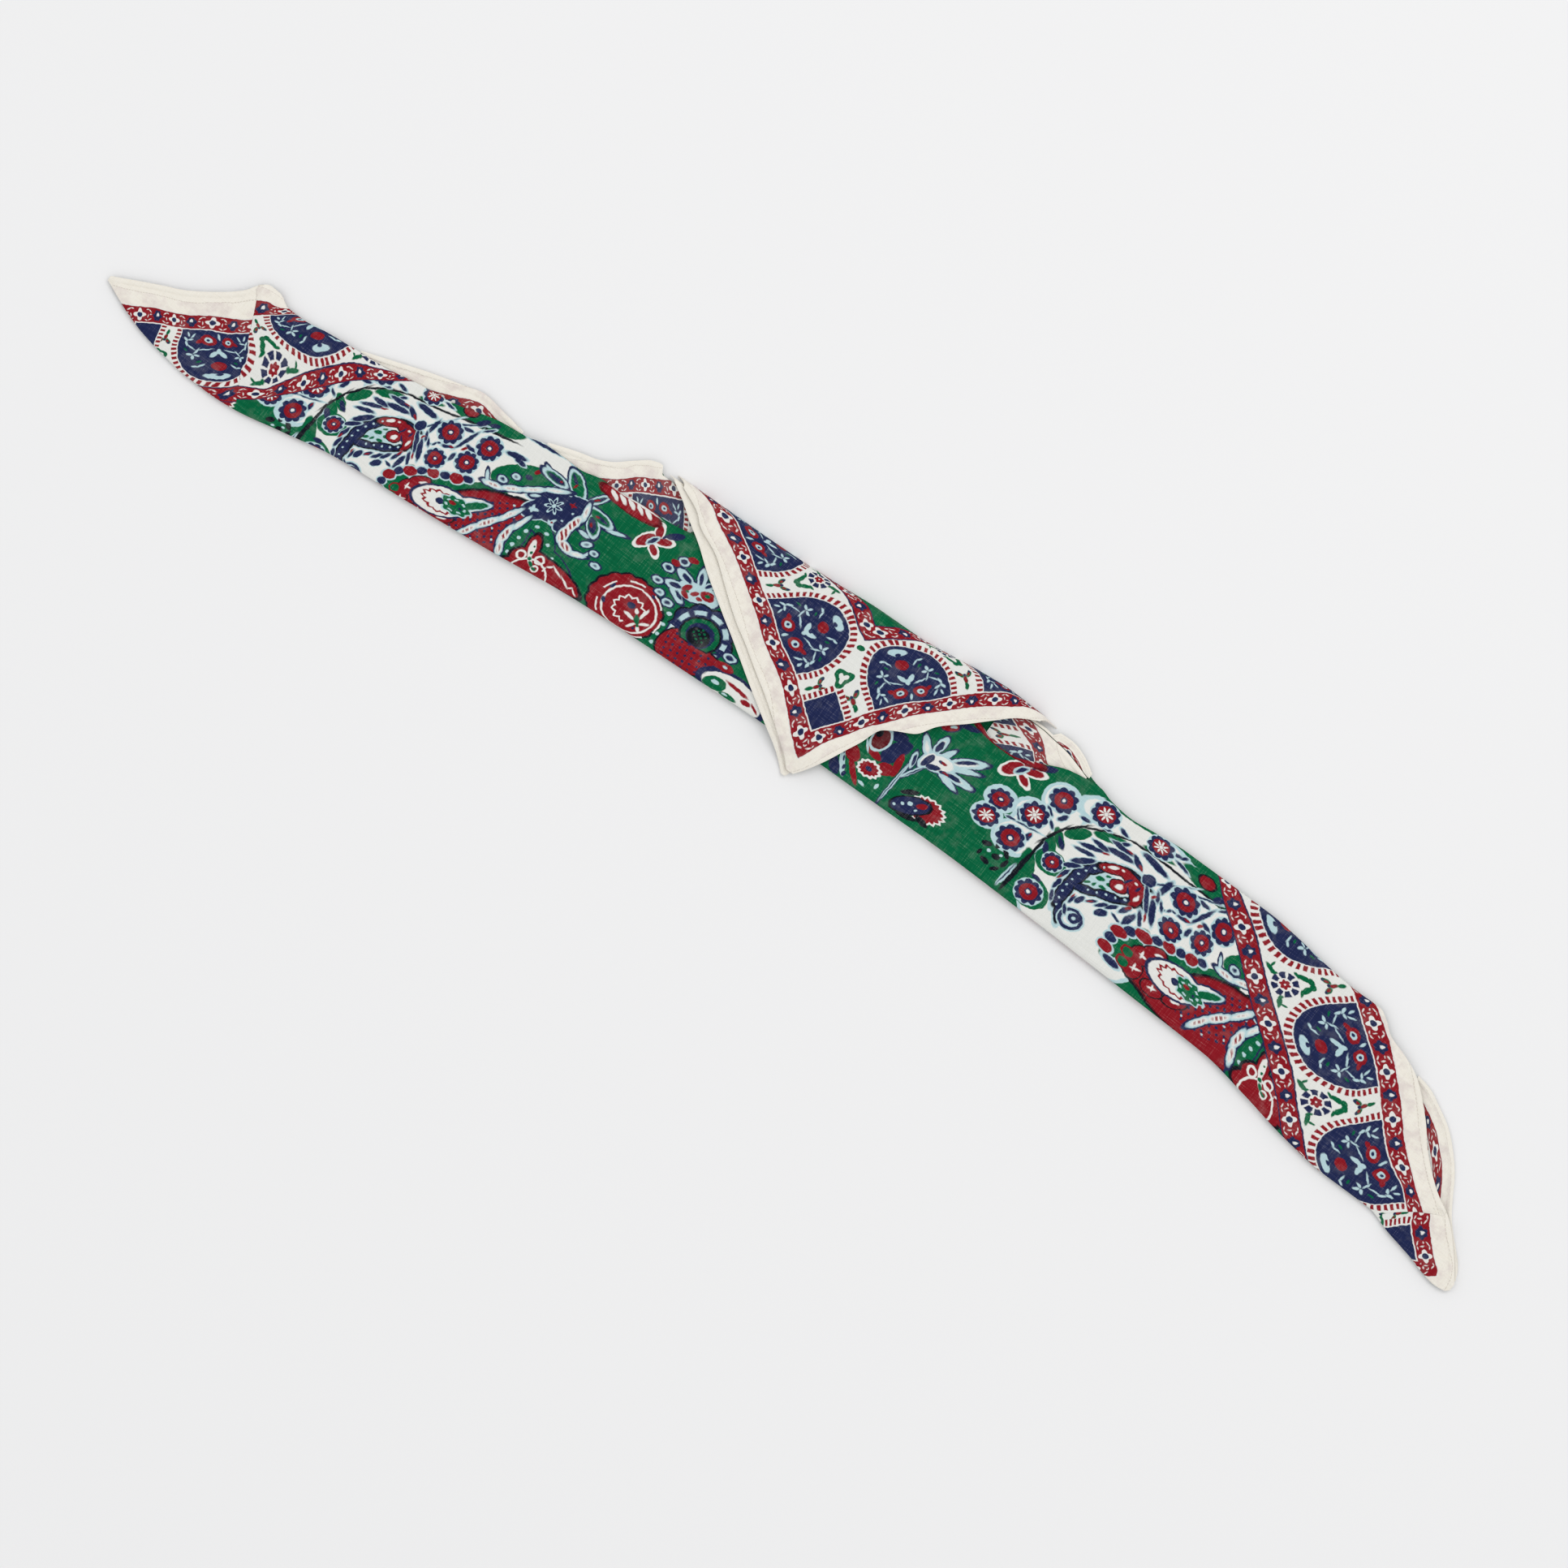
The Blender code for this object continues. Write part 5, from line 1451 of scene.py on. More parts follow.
    def medallion(self, press: Press) -> None:
        """The round red medallion at the fold, with its white rings and a small fleur."""
        away, turn = press.turn_about(-106, 7.6, 17.4, 14.4)
        edge = (away - 0.96 - abs((turn * 8).cosine()) * 0.05) * 15.0
        press.lay(Dye.BLACK, edge - 0.9)
        press.lay(Dye.RED, edge)
        away, turn = press.turn_about(-103.4, 7.4, 12.6, 10.6)
        notch = teeth(turn, 12) * 0.24
        ring = (abs(away - 1) * 11.0 - 0.42).least(abs(away - 0.5 - notch) * 11.0 - 0.42)
        outer = (abs(away - 1.2) * 11.0 - 0.35).most(0.0 - (turn * 7).cosine() * 3.0 - 0.6)
        press.lay(Dye.WHITE, ring.least(outer))
        press.blots(Dye.RED, ((-97.8, 5.2, 36, 5.6, 4.2),))
        press.blots(Dye.WHITE, (
            (-101.6, 5.2, 170, 3, 0.8), (-96.3, 9.2, 80, 3, 0.8), (-98.6, 1.8, 50, 2.2, 0.7),
            (-93.8, 5.2, 30, 2.2, 0.7), (-95, 2, 127, 1.9, 0.7), (-99.9, 8.6, 127, 1.4, 0.9),
        ))
        press.blots(Dye.GREEN, ((-97.6, 5.4, 127, 2.3, 1.2), (-95.9, 3.2, 0, 0.8, 0.7)))
        press.blots(Dye.NAVY, (
            (-103.4, 9.6, 0, 2, 1.5), (-115.6, 13, 60, 1.6, 0.8), (-115.4, 5.4, -60, 1.6, 0.8),
            (-97.6, 18.2, -20, 1.4, 0.6), (-96.8, 1.2, 0, 0.7, 0.6),
        ))

    def lotus(self, press: Press) -> None:
        """Pale petals with navy hearts and two red flowers, beside the flap."""
        press.blots([(Dye.NAVY, 0.7), (Dye.LIGHT_BLUE, 0)], (
            (-85.4, 36.8, 112, 5.2, 1.9), (-91.8, 33.8, -18, 4.8, 2), (-93.8, 28, 8, 4.6, 1.9),
            (-90.4, 24.6, -28, 4.8, 1.6), (-86, 29.6, 0, 6.4, 4.4), (-79.4, 30.8, 0, 5.4, 4.4),
            (-81, 36, 60, 4, 1.6),
        ))
        press.blots(Dye.NAVY, (
            (-90.8, 33.6, -22, 2.8, 1.1), (-93.2, 28.1, 8, 3, 1.1), (-85.6, 36.6, 112, 2.8, 0.9),
            (-89.4, 25, -28, 2.4, 0.7), (-88.6, 28.6, 70, 1, 0.7), (-81.4, 35.6, 60, 2, 0.8),
        ))
        press.blots(Dye.RED, (
            (-88.4, 30, 60, 2.4, 1.3), (-87.6, 26.8, -30, 2.2, 1.1), (-84.4, 29.4, 40, 2, 1),
            (-79.4, 31.4, 0, 3, 2.2), (-81.6, 28.4, 0, 1.4, 0.8),
        ))
        press.blots(Dye.GREEN, ((-79.4, 31.4, 0, 1.1, 0.8), (-87.6, 28.6, 0, 0.8, 0.6)))

    def dark_scallops(self, press: Press) -> None:
        """Navy scallops over a dark eye, and the dotted red ground below it."""
        red = press.outside(((-74, 4, 0, 11.5, 10.5), (-62, 5, -20, 9, 4)))
        press.lay(Dye.BLACK, red - 0.8)
        press.lay(Dye.RED, red)
        lattice = press.lattice(3, 2.8, 12)
        press.lay(Dye.NAVY, (lattice - 0.6).most(red + 1))
        away, turn = press.turn_about(-72.6, 14.6)
        fans = away - 12.4 - abs((turn * 4.5).cosine()) * 1.6
        press.lay(Dye.BLACK, fans - 0.7, press.above(12))
        press.lay(Dye.NAVY, fans, press.above(12))
        lobes = (abs(away - 10.4) - 1.1).most(0.5 - abs((turn * 4.5).cosine()))
        press.lay(Dye.LIGHT_BLUE, lobes, press.above(14))
        press.lay(Dye.BLACK, away - 8.6, press.above(9))
        press.lay(Dye.GREEN, away - 7.8, press.above(9.6))
        press.lay(Dye.NAVY, away - 5.8)
        press.blots(Dye.BLACK, ((-72.8, 13.6, 0, 5, 4.4),))
        hatch = press.lattice(2, 1.8, 45)
        press.lay(Dye.GREEN, (hatch - 0.5).most(away - 3.4))

    def low_paisley(self, press: Press) -> None:
        """The paisley half under the fold beside the flap's point."""
        press.blots([(Dye.NAVY, 1.6), (Dye.WHITE, 0)], ((-47.5, -1, -6, 15, 7.4),))
        press.blots(Dye.RED, (
            (-47, 2.6, -10, 6.2, 0.9), (-41, -0.6, 0, 2.6, 1.2), (-57, 8.4, 0, 4.2, 2),
            (-36, -1, -30, 3, 0.6),
        ))
        press.blots(Dye.GREEN, ((-56.6, -0.6, 20, 5.2, 3.6), (-49, -3, 0, 4.4, 1.8)))
        press.blots(Dye.LIGHT_BLUE, (
            (-56.6, 0.4, 0, 1.8, 1), (-50.6, -2.6, 0, 1.4, 0.7), (-57, 8.4, 0, 1.2, 0.6),
            (-88, 15.6, 0, 1.1, 0.9), (-87.4, 10.2, 0, 1, 0.9), (-87, 5, 0, 0.9, 0.8),
            (-87, 0.6, 0, 0.9, 0.8),
        ))

    def buds(self, press: Press) -> None:
        """Two small pale-edged buds on the green."""
        for x, y in ((-112, 40), (-290, 41)):
            press.blots([(Dye.WHITE, 1), (Dye.RED, 0)], (
                (x - 1, y + 4.8, 110, 3.4, 1.7), (x - 4.2, y - 1.4, 58, 4.6, 2.4),
                (x + 3.2, y + 1.8, 20, 3.8, 1.7), (x + 1.4, y - 3.6, -35, 3, 1.5),
            ))
            press.blots(Dye.LIGHT_BLUE, ((x - 1.2, y - 0.2, 56, 3.4, 1.7),))
            press.blots(Dye.NAVY, (
                (x + 6.2, y + 6.8, 34, 4.2, 1.8), (x - 1.2, y - 0.2, 56, 2.6, 0.9),
                (x + 2.4, y + 4.2, 60, 1.8, 0.7),
            ))

    def combed_leaves(self, press: Press) -> None:
        """Long red leaves with a white comb, at the far edge beside the flap."""
        for x, y in ((-131, 49), (99, 48.4), (-301, 48.4)):
            press.blots([(Dye.DARK_RED, 0.4), (Dye.RED, -0.2)], (
                (x, y, -5, 16, 4), (x + 10, y + 1.4, 40, 4.6, 2.6),
            ))
            teeth = [(x - 8.6 + 4.4 * i, y + 0.1, -34, 3.1, 0.95) for i in range(5)]
            spine = (x + 1.4, y + 2.3, -4, 13, 0.6)
            press.blots(Dye.WHITE, (spine, *teeth))

    def drop_rings(self, press: Press) -> None:
        """Small pale rings and red drops strewn on the green."""
        rings = press.outside(self.rings)
        press.lay(Dye.NAVY, rings - 0.7)
        press.lay(Dye.LIGHT_BLUE, rings)
        press.lay(Dye.NAVY, rings + 0.62)
        press.blots(Dye.RED, (
            (-93.2, 41.8, 10, 2.6, 1.4), (-98.8, 36.8, 0, 2.3, 1.4),
        ))
        press.blots(Dye.NAVY, ((-175.4, 37, 0, 1.9, 1.3),))

    def lily(self, press: Press) -> None:
        """The pale lily with pointed petals, and its stem."""
        press.blots([(Dye.NAVY, 0.5), (Dye.LIGHT_BLUE, 0), (Dye.WHITE, -0.8)], (
            (73.4, 26.8, -46, 6.6, 2), (78.2, 30.8, 82, 5.2, 2.3), (83, 28.4, 62, 4.8, 1.4),
            (91.4, 29.6, 34, 8.6, 2.3), (92, 26.2, 22, 6.6, 1.3), (91.4, 21.4, -2, 7.6, 2),
            (88.8, 18.8, -22, 6, 1.5), (82.4, 23.4, 12, 8, 4.4), (77.4, 22.4, 66, 5.6, 3.4),
            (71.6, 18.8, 104, 4.2, 1.5), (74.6, 13.6, 56, 6, 1), (70.4, 5.4, 86, 11, 0.9),
        ))
        press.blots(Dye.NAVY, (
            (78.2, 30.2, 84, 3, 1.5), (91.4, 30.2, 34, 4.6, 0.9), (77.4, 22, 68, 3.8, 1.8),
            (81.2, 20.6, 16, 3.4, 1.3), (90.8, 21.3, 0, 3.2, 1), (86.4, 20.8, 8, 2.2, 0.8),
            (83, 24.4, 0, 1.4, 0.8), (72, 18.8, 104, 2.8, 0.8), (75.4, 14.2, 56, 4.2, 0.4),
            (70.2, 3.6, 86, 8, 0.3),
        ))
        press.blots(Dye.RED, ((84.4, 24.6, 0, 1.4, 0.7), (87.4, 20.9, 0, 1.3, 0.5)))

    def thistles(self, press: Press) -> None:
        """Two thistles with jagged red petals."""
        for x, y, across in ((89.6, 2, 7.6),):
            away, turn = press.turn_about(x, y, across, 5.6)
            notch = teeth(turn, 17) * 0.34
            jagged = (away - 0.82 - notch) * 5.6
            press.lay(Dye.WHITE, jagged - 0.9)
            press.lay(Dye.RED, jagged)
        press.blots([(Dye.BLACK, 0.6), (Dye.NAVY, 0)], ((83, 0.2, 24, 8.6, 4),))
        press.blots(Dye.BLACK, (
            (79.6, 5.4, 26, 4.4, 1.3), (91, -3.4, -20, 3.4, 1.4), (84.6, -5, 10, 5, 1.2),
        ))
        press.blots(Dye.RED, ((87.6, 2.6, 30, 2.4, 1.4),))
        press.blots(Dye.LIGHT_BLUE, (
            (82.8, 1, 0, 1.3, 1), (80, -0.8, 0, 0.9, 0.7), (77, -2.8, 0, 0.8, 0.6),
            (86.4, -0.4, 0, 0.7, 0.5),
        ))

    def under_flap(self, press: Press) -> None:
        """Leaves, a ringed flower and a pale spray that come out from under the flap."""
        press.blots(Dye.NAVY, (
            (61.4, 18, 44, 8.4, 4.2), (57.8, 24, 6, 6, 2.6), (60, 12.6, 20, 5, 2.4),
            (76.4, 41, 26, 5.2, 3.2), (83.4, 44.6, 10, 5.6, 1.4),
        ))
        press.blots(Dye.RED, (
            (66.8, 12.6, 100, 6, 2.2), (62.6, 8, 10, 5.4, 3), (50.6, 11.6, -12, 7, 1.9),
            (37, 7, -14, 9, 3.6), (46, 0.2, -34, 10, 1.6), (76.4, 40.4, 26, 4.2, 2.2),
        ))
        press.blots([(Dye.LIGHT_BLUE, 0), (Dye.DARK_RED, -1.2)], ((49.6, 18.6, 10, 7, 6.4),))
        press.blots(Dye.BLACK, ((46.4, 20.6, 0, 2.6, 2),))
        away, turn = press.turn_about(54.6, 4.2, 8.6, 4.4)
        flower = (away - 0.94 - (turn * 12).cosine() * 0.06) * 5.0
        press.lay(Dye.WHITE, flower)
        press.lay(Dye.RED, flower + 1.2)
        press.blots(Dye.LIGHT_BLUE, ((33.6, 1.8, -34, 12, 1.9), (44.6, 13, -42, 4.2, 0.7)))
        press.blots(Dye.NAVY, (
            (54.6, 4.2, 0, 2.2, 1.2), (39.6, -1, 0, 1.6, 1.2), (42.8, -3.6, 0, 1.6, 1.3),
            (30.4, -2.6, -20, 9, 3.2), (34.6, 2.4, -34, 2, 0.7), (30, 5.4, -34, 2, 0.6),
        ))
        press.blots(Dye.LIGHT_BLUE, (
            (78, 41.2, 30, 1.5, 0.8), (56, -3.2, -10, 2.6, 0.7), (64.4, -0.6, 80, 1.4, 1),
        ))


# ---------------------------------------------------------------- finishes
def new_material(
    name: str, roughness: float, gloss: float
) -> tuple[bpy.types.Material, bpy.types.ShaderNodeBsdfPrincipled]:
    """Makes a material with a name, a roughness and a gloss, and gives its shader node too."""
    material = bpy.data.materials.new(name)
    material.use_nodes = True
    shader = material.node_tree.nodes["Principled BSDF"]
    shader.inputs["Roughness"].default_value = roughness
    shader.inputs["Specular IOR Level"].default_value = gloss
    return material, shader


@dataclass(frozen=True)
class Voile:
    """Printed slubby cotton voile. What varies over it goes into its colour and its bump; the colour
    also holds painted shade, deeper where the weave's height is low.

    The pairs say how much of a look there is for a noise: times the first, plus the second.
    """

    name: str
    paleness: float = 0.0
    roughness: float = 0.88
    gloss: float = 0.06
    plain: Dye = Dye.GREEN
    # painted shade in the weave's hollows: how much it darkens for the weave's height, and the gamma
    # that deepens the colour there
    weave_hollow_shade: Row = (-0.75, 0.96)
    weave_hollow_shade_gamma: float = 1.7
    worn: Row = (0.3, -0.155)
    behind_margin: Row = (-5.0, 2.7)
    behind_margin_strength: float = 0.45
    slubs: Row = (0.3, -0.33)
    thread_scales: Rows = ((90.0, 2300.0, 45.0), (2300.0, 120.0, 45.0))
    thread_turn: float = -36.87

    def material(
        self,
        border: BorderPrint,
        sides_print: bpy.types.NodeTree,
        field_print: bpy.types.NodeTree | None = None,
    ) -> bpy.types.Material:
        """Builds the cloth.

        Args:
            border: The border's sizes.
            sides_print: The border's node group.
            field_print: A stretch of the field as a node group, or nothing for a plain field.

        Returns:
            The material.
        """
        material, shader = new_material(self.name, self.roughness, self.gloss)
        tree = ShaderTree(material.node_tree)
        place = tree.out(tree.node("ShaderNodeTexCoord"), "Object")
        wobble = self.wobble(tree, place)
        sides = self.flat_place(tree, UVName.BORDER, wobble)
        printed = tree.node("ShaderNodeGroup", {"node_tree": sides_print}, {0: sides})
        colour, depth = tree.out(printed, 0), tree.out(printed, 1)
        within: Value = self.plain.value
        if field_print is not None:
            spot = self.flat_place(tree, UVName.FIELD, wobble)
            within = tree.out(tree.node("ShaderNodeGroup", {"node_tree": field_print}, {0: spot}))
        colour = tree.mix(depth.over(border.field), colour, within)
        if self.paleness:
            colour = tree.mix(self.paleness, colour, Dye.CREAM.value)
        slub, relief = self.weave(tree, place)
        mottle = tree.node("ShaderNodeTexNoise", None, {
            "Vector": place, "Scale": 130.0, "Detail": 4.0, "Roughness": 0.65,
        })
        # painted shade: the colour is deepened where the weave's height is low, as in the hollows
        # between threads, which also makes the threads' tone uneven
        weave_hollow_shade = tree.math("MULTIPLY_ADD", relief, *self.weave_hollow_shade, clamp=True)
        inputs = {"Color": colour, "Gamma": self.weave_hollow_shade_gamma}
        deep = tree.out(tree.node("ShaderNodeGamma", None, inputs))
        colour = tree.mix(weave_hollow_shade, colour, deep)
        worn = tree.math("MULTIPLY_ADD", tree.out(mottle), *self.worn)
        colour = tree.mix(worn, colour, Dye.WHITE.value)
        seen = tree.math("MULTIPLY_ADD", tree.out(mottle), *self.behind_margin, clamp=True)
        margin = tree.math("LESS_THAN", depth, border.margin) * depth.over(border.hem)
        seen = seen * margin * self.behind_margin_strength
        colour = tree.mix(seen, colour, Dye.SHOWN_THROUGH.value)
        colour = tree.mix(slub, colour, Dye.CREAM.value)
        material.node_tree.links.new(colour.socket, shader.inputs["Base Color"])
        bump = tree.node("ShaderNodeBump", None, {
            "Strength": 0.6, "Distance": 0.0003, "Height": relief,
        })
        material.node_tree.links.new(bump.outputs[0], shader.inputs["Normal"])
        return material

    def wobble(self, tree: ShaderTree, place: Wire) -> Wire:
        """Small unevenness of printed edges, in mm, with 1 as its third part."""
        noise = tree.node("ShaderNodeTexNoise", None, {
            "Vector": place, "Scale": 420.0, "Detail": 1.5, "Roughness": 0.6,
        })
        node = tree.node("ShaderNodeVectorMath", {"operation": "MULTIPLY_ADD"}, {
            0: tree.out(noise, 1), 1: (1.1, 1.1, 0.0), 2: (-0.55, -0.55, 1.0),
        })
        return tree.out(node)

    def flat_place(self, tree: ShaderTree, name: UVName, wobble: Wire) -> Wire:
        """Flat coordinates in mm, a little uneven."""
        uv = tree.out(tree.node("ShaderNodeUVMap", {"uv_map": name.value}))
        return tree.out(tree.node("ShaderNodeVectorMath", {"operation": "ADD"}, {0: uv, 1: wobble}))

    def weave(self, tree: ShaderTree, place: Wire) -> tuple[Wire, Wire]:
        """Thick places in the threads both ways, as a pale streak and as height."""
        streaks = None
        rotation = (0.0, 0.0, math.radians(self.thread_turn))
        for scale in self.thread_scales:
            turned = tree.node("ShaderNodeMapping", None, {
                "Vector": place, "Rotation": rotation, "Scale": scale,
            })
            noise = tree.node("ShaderNodeTexNoise", None, {
                "Vector": tree.out(turned), "Scale": 1.0, "Detail": 1.5, "Roughness": 0.55,
            })
            streaks = tree.out(noise) if streaks is None else streaks + tree.out(noise)
        return tree.math("MULTIPLY_ADD", streaks, *self.slubs, clamp=True), streaks


@dataclass(frozen=True)
class PlainFinish:
    """A plain matte surface for the floor."""

    name: str
    colour: tuple[float, float, float, float]
    roughness: float = 0.95

    def material(self) -> bpy.types.Material:
        """Builds the surface."""
        material, shader = new_material(self.name, self.roughness, 0.0)
        shader.inputs["Base Color"].default_value = self.colour
        return material


class PrintWorks:
    """The print groups, made once, and a material for each finish of the record."""

    def __init__(self) -> None:
        """Prints the border and the field and cuts the finishes from them."""
        border, field_print = BorderPrint(), FieldPrint()
        sides = border.group()
        self.printed = [
            Voile(f"printed_voile_{number}").material(border, sides, field_print.stretch(first, last))
            for number, (first, last) in enumerate(pairwise(FIELD_CUTS))
        ]
        self.bordered = [Voile("border_voile").material(border, sides)]
        self.hem = [Voile("hem_voile", 0.03).material(border, sides)]
        self.wrong = [Voile("wrong_side_voile", 0.05).material(border, sides)]
        self.under = [Voile("wrong_side_margin", 0.55).material(border, sides)]


# ---------------------------------------------------------------- sub-assemblies
@dataclass
class ClothPart:
    """One visible piece of the scarf's cloth, and what the frame needs to know of it."""

    name: str
    node: str
    slot: str
    flat: tuple[float, float]
    area: float
    rests_on: tuple[str, ...] = ("scarf_hidden_layers",)
    thickness: float = 0.45

    def finish(self, grid: ClothGrid, finishes: Finishes) -> bpy.types.Object:
        """Builds the piece, dresses it, hangs it under the root body and hides the solid that it stands
        for.

        Args:
            grid: Its surface.
            finishes: Its finish, or one for each stretch of the field's repeat.

        Returns:
            The object.
        """
        obj = cloth_object(self.name, grid, self.thickness, finishes)
        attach(obj, "root")
        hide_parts(self.node)
        log.info("%s: %d faces", self.name, len(obj.data.polygons))
        return obj


@dataclass
class FrontFace:
    """The face of the scarf that shows: four stretches rolled over the near and far edges."""

    spacing: float = 1.5
    columns: int = 64
    hem_stretches: Rows = ((LEFT_END, -326.0), (281.0, RIGHT_END))
    # each pleat, the side that lies over it, and from what share of the width on it rises
    pleats: Rows = ((LEFT_PLEAT, 1.0, 0.5), (RIGHT_PLEAT, -1.0, 0.15))
    turn: Array = field(default_factory=lambda: np.linspace(0, math.pi / 2, 8))

    def grid(self, start: float, end: float, cloth: ClothMap) -> ClothGrid:
        """A stretch of the face.

        Args:
            start: Where it starts along the band.
            end: Where it ends.
            cloth: Its place on the square.

        Returns:
            The grid, near edge first.
        """
        count = int((end - start) / self.spacing) + 2
        place = np.linspace(start, end, count)[:, None]
        angles = np.concatenate([[-0.2], self.turn])[None, :]
        near = self.rolled(place, 0.0, angles)
        far = self.rolled(place, 1.0, angles[:, ::-1])
        share = np.linspace(0, 1, self.columns + 2)[None, 1:-1]
        along = skewed(place, share)
        band = Section(along)
        width = band.far - band.near - 2 * band.shoulder
        across = band.near + band.shoulder + share * width
        middle = (along, across, face_height(along, across), across)
        parts = (np.concatenate(three, axis=1) for three in zip(near, middle, far))
        along, across, up, unrolled = parts
        up = up + self.relief(along, across)
        return ClothGrid(along, across, up, cloth.at(along, unrolled), field_at(along, unrolled))

    def rolled(self, place: Array, share: float, angle: Array) -> tuple[Array, Array, Array, Array]:
        """The cloth where it turns down at one edge, 0 near or 1 far, and its place laid flat."""
        along = skewed(place, np.array(share)) + np.zeros_like(angle)
        band = Section(along)
        rolled = np.clip(angle, 0, None)
        inward = band.shoulder * (1 - np.cos(rolled))
        if share < 0.5:
            across, drop, wrap, out = band.near + inward, band.near_drop, band.near_wrap, -1.0
        else:
            across, drop, wrap, out = band.far - inward, band.far_drop, band.far_wrap, 1.0
        fall = drop * (1 - np.sin(rolled)) + np.where(angle < 0, 0.02 + SKIRT * wrap, 0.0)
        return along, across, face_height(along, across) - fall, across + out * fall

    def relief(self, along: Array, across: Array) -> Array:
        """Folds, soft creases, fine crumple, and the hem where the edge is a side of the square."""
        band = Section(along)
        inside = np.minimum(across - band.near, band.far - across)
        level = ease(inside / 4.0)
        height = folds_at(FOLDS, along, across)
        height += level * (folds_at(SOFT_CREASES, along, across) + crumple(along, across))
        share = (across - band.near) / (band.far - band.near)
        for pleat, over, first in self.pleats:
            past = (along - skewed(np.array(pleat) + 0 * along, share)) * over
            rise = np.where(past > 0, 0.5 * hump(past, 2.2), -0.45 * hump(past, 2.6))
            height += rise * ease((share - first) / 0.3)
        for first, last in self.hem_stretches:
            line_along = np.linspace(first, last, 60)
            line = np.stack([line_along, smooth(FRONT_FAR_EDGE, line_along)], axis=1)
            beside = ease((along - first + 3) / 4) * ease((last + 3 - along) / 4)
            away = distance_to_line(along, across, line)
            height += beside * HEM.relief(away, along)
        return height

    def build(self, works: PrintWorks) -> None:
        """Makes the four stretches."""
        left, right = LEFT_PLEAT, RIGHT_PLEAT
        for part, start, end, cloth, finishes in (
            (ClothPart("scarf_left_corner", "left_corner", "border_cloth", (0.075, 0.062), 0.0022),
             LEFT_END, left - HALF_SLIT, LEFT_CORNER_CLOTH, works.printed),
            (ClothPart("scarf_front_left", "front_left", "printed_cloth", (0.315, 0.075), 0.0178),
             left + HALF_SLIT, MIDDLE - HALF_SLIT, FRONT_LEFT_CLOTH, works.printed),
            (ClothPart("scarf_front_right", "front_right", "printed_cloth", (0.355, 0.080), 0.0229),
             MIDDLE + HALF_SLIT, right - HALF_SLIT, FRONT_RIGHT_CLOTH, works.printed),
            (ClothPart("scarf_right_corner", "right_corner", "border_cloth", (0.046, 0.038), 0.0008),
             right + HALF_SLIT, RIGHT_END, RIGHT_CORNER_CLOTH, works.bordered),
        ):
            part.finish(self.grid(start, end, ClothMap(cloth)), finishes)


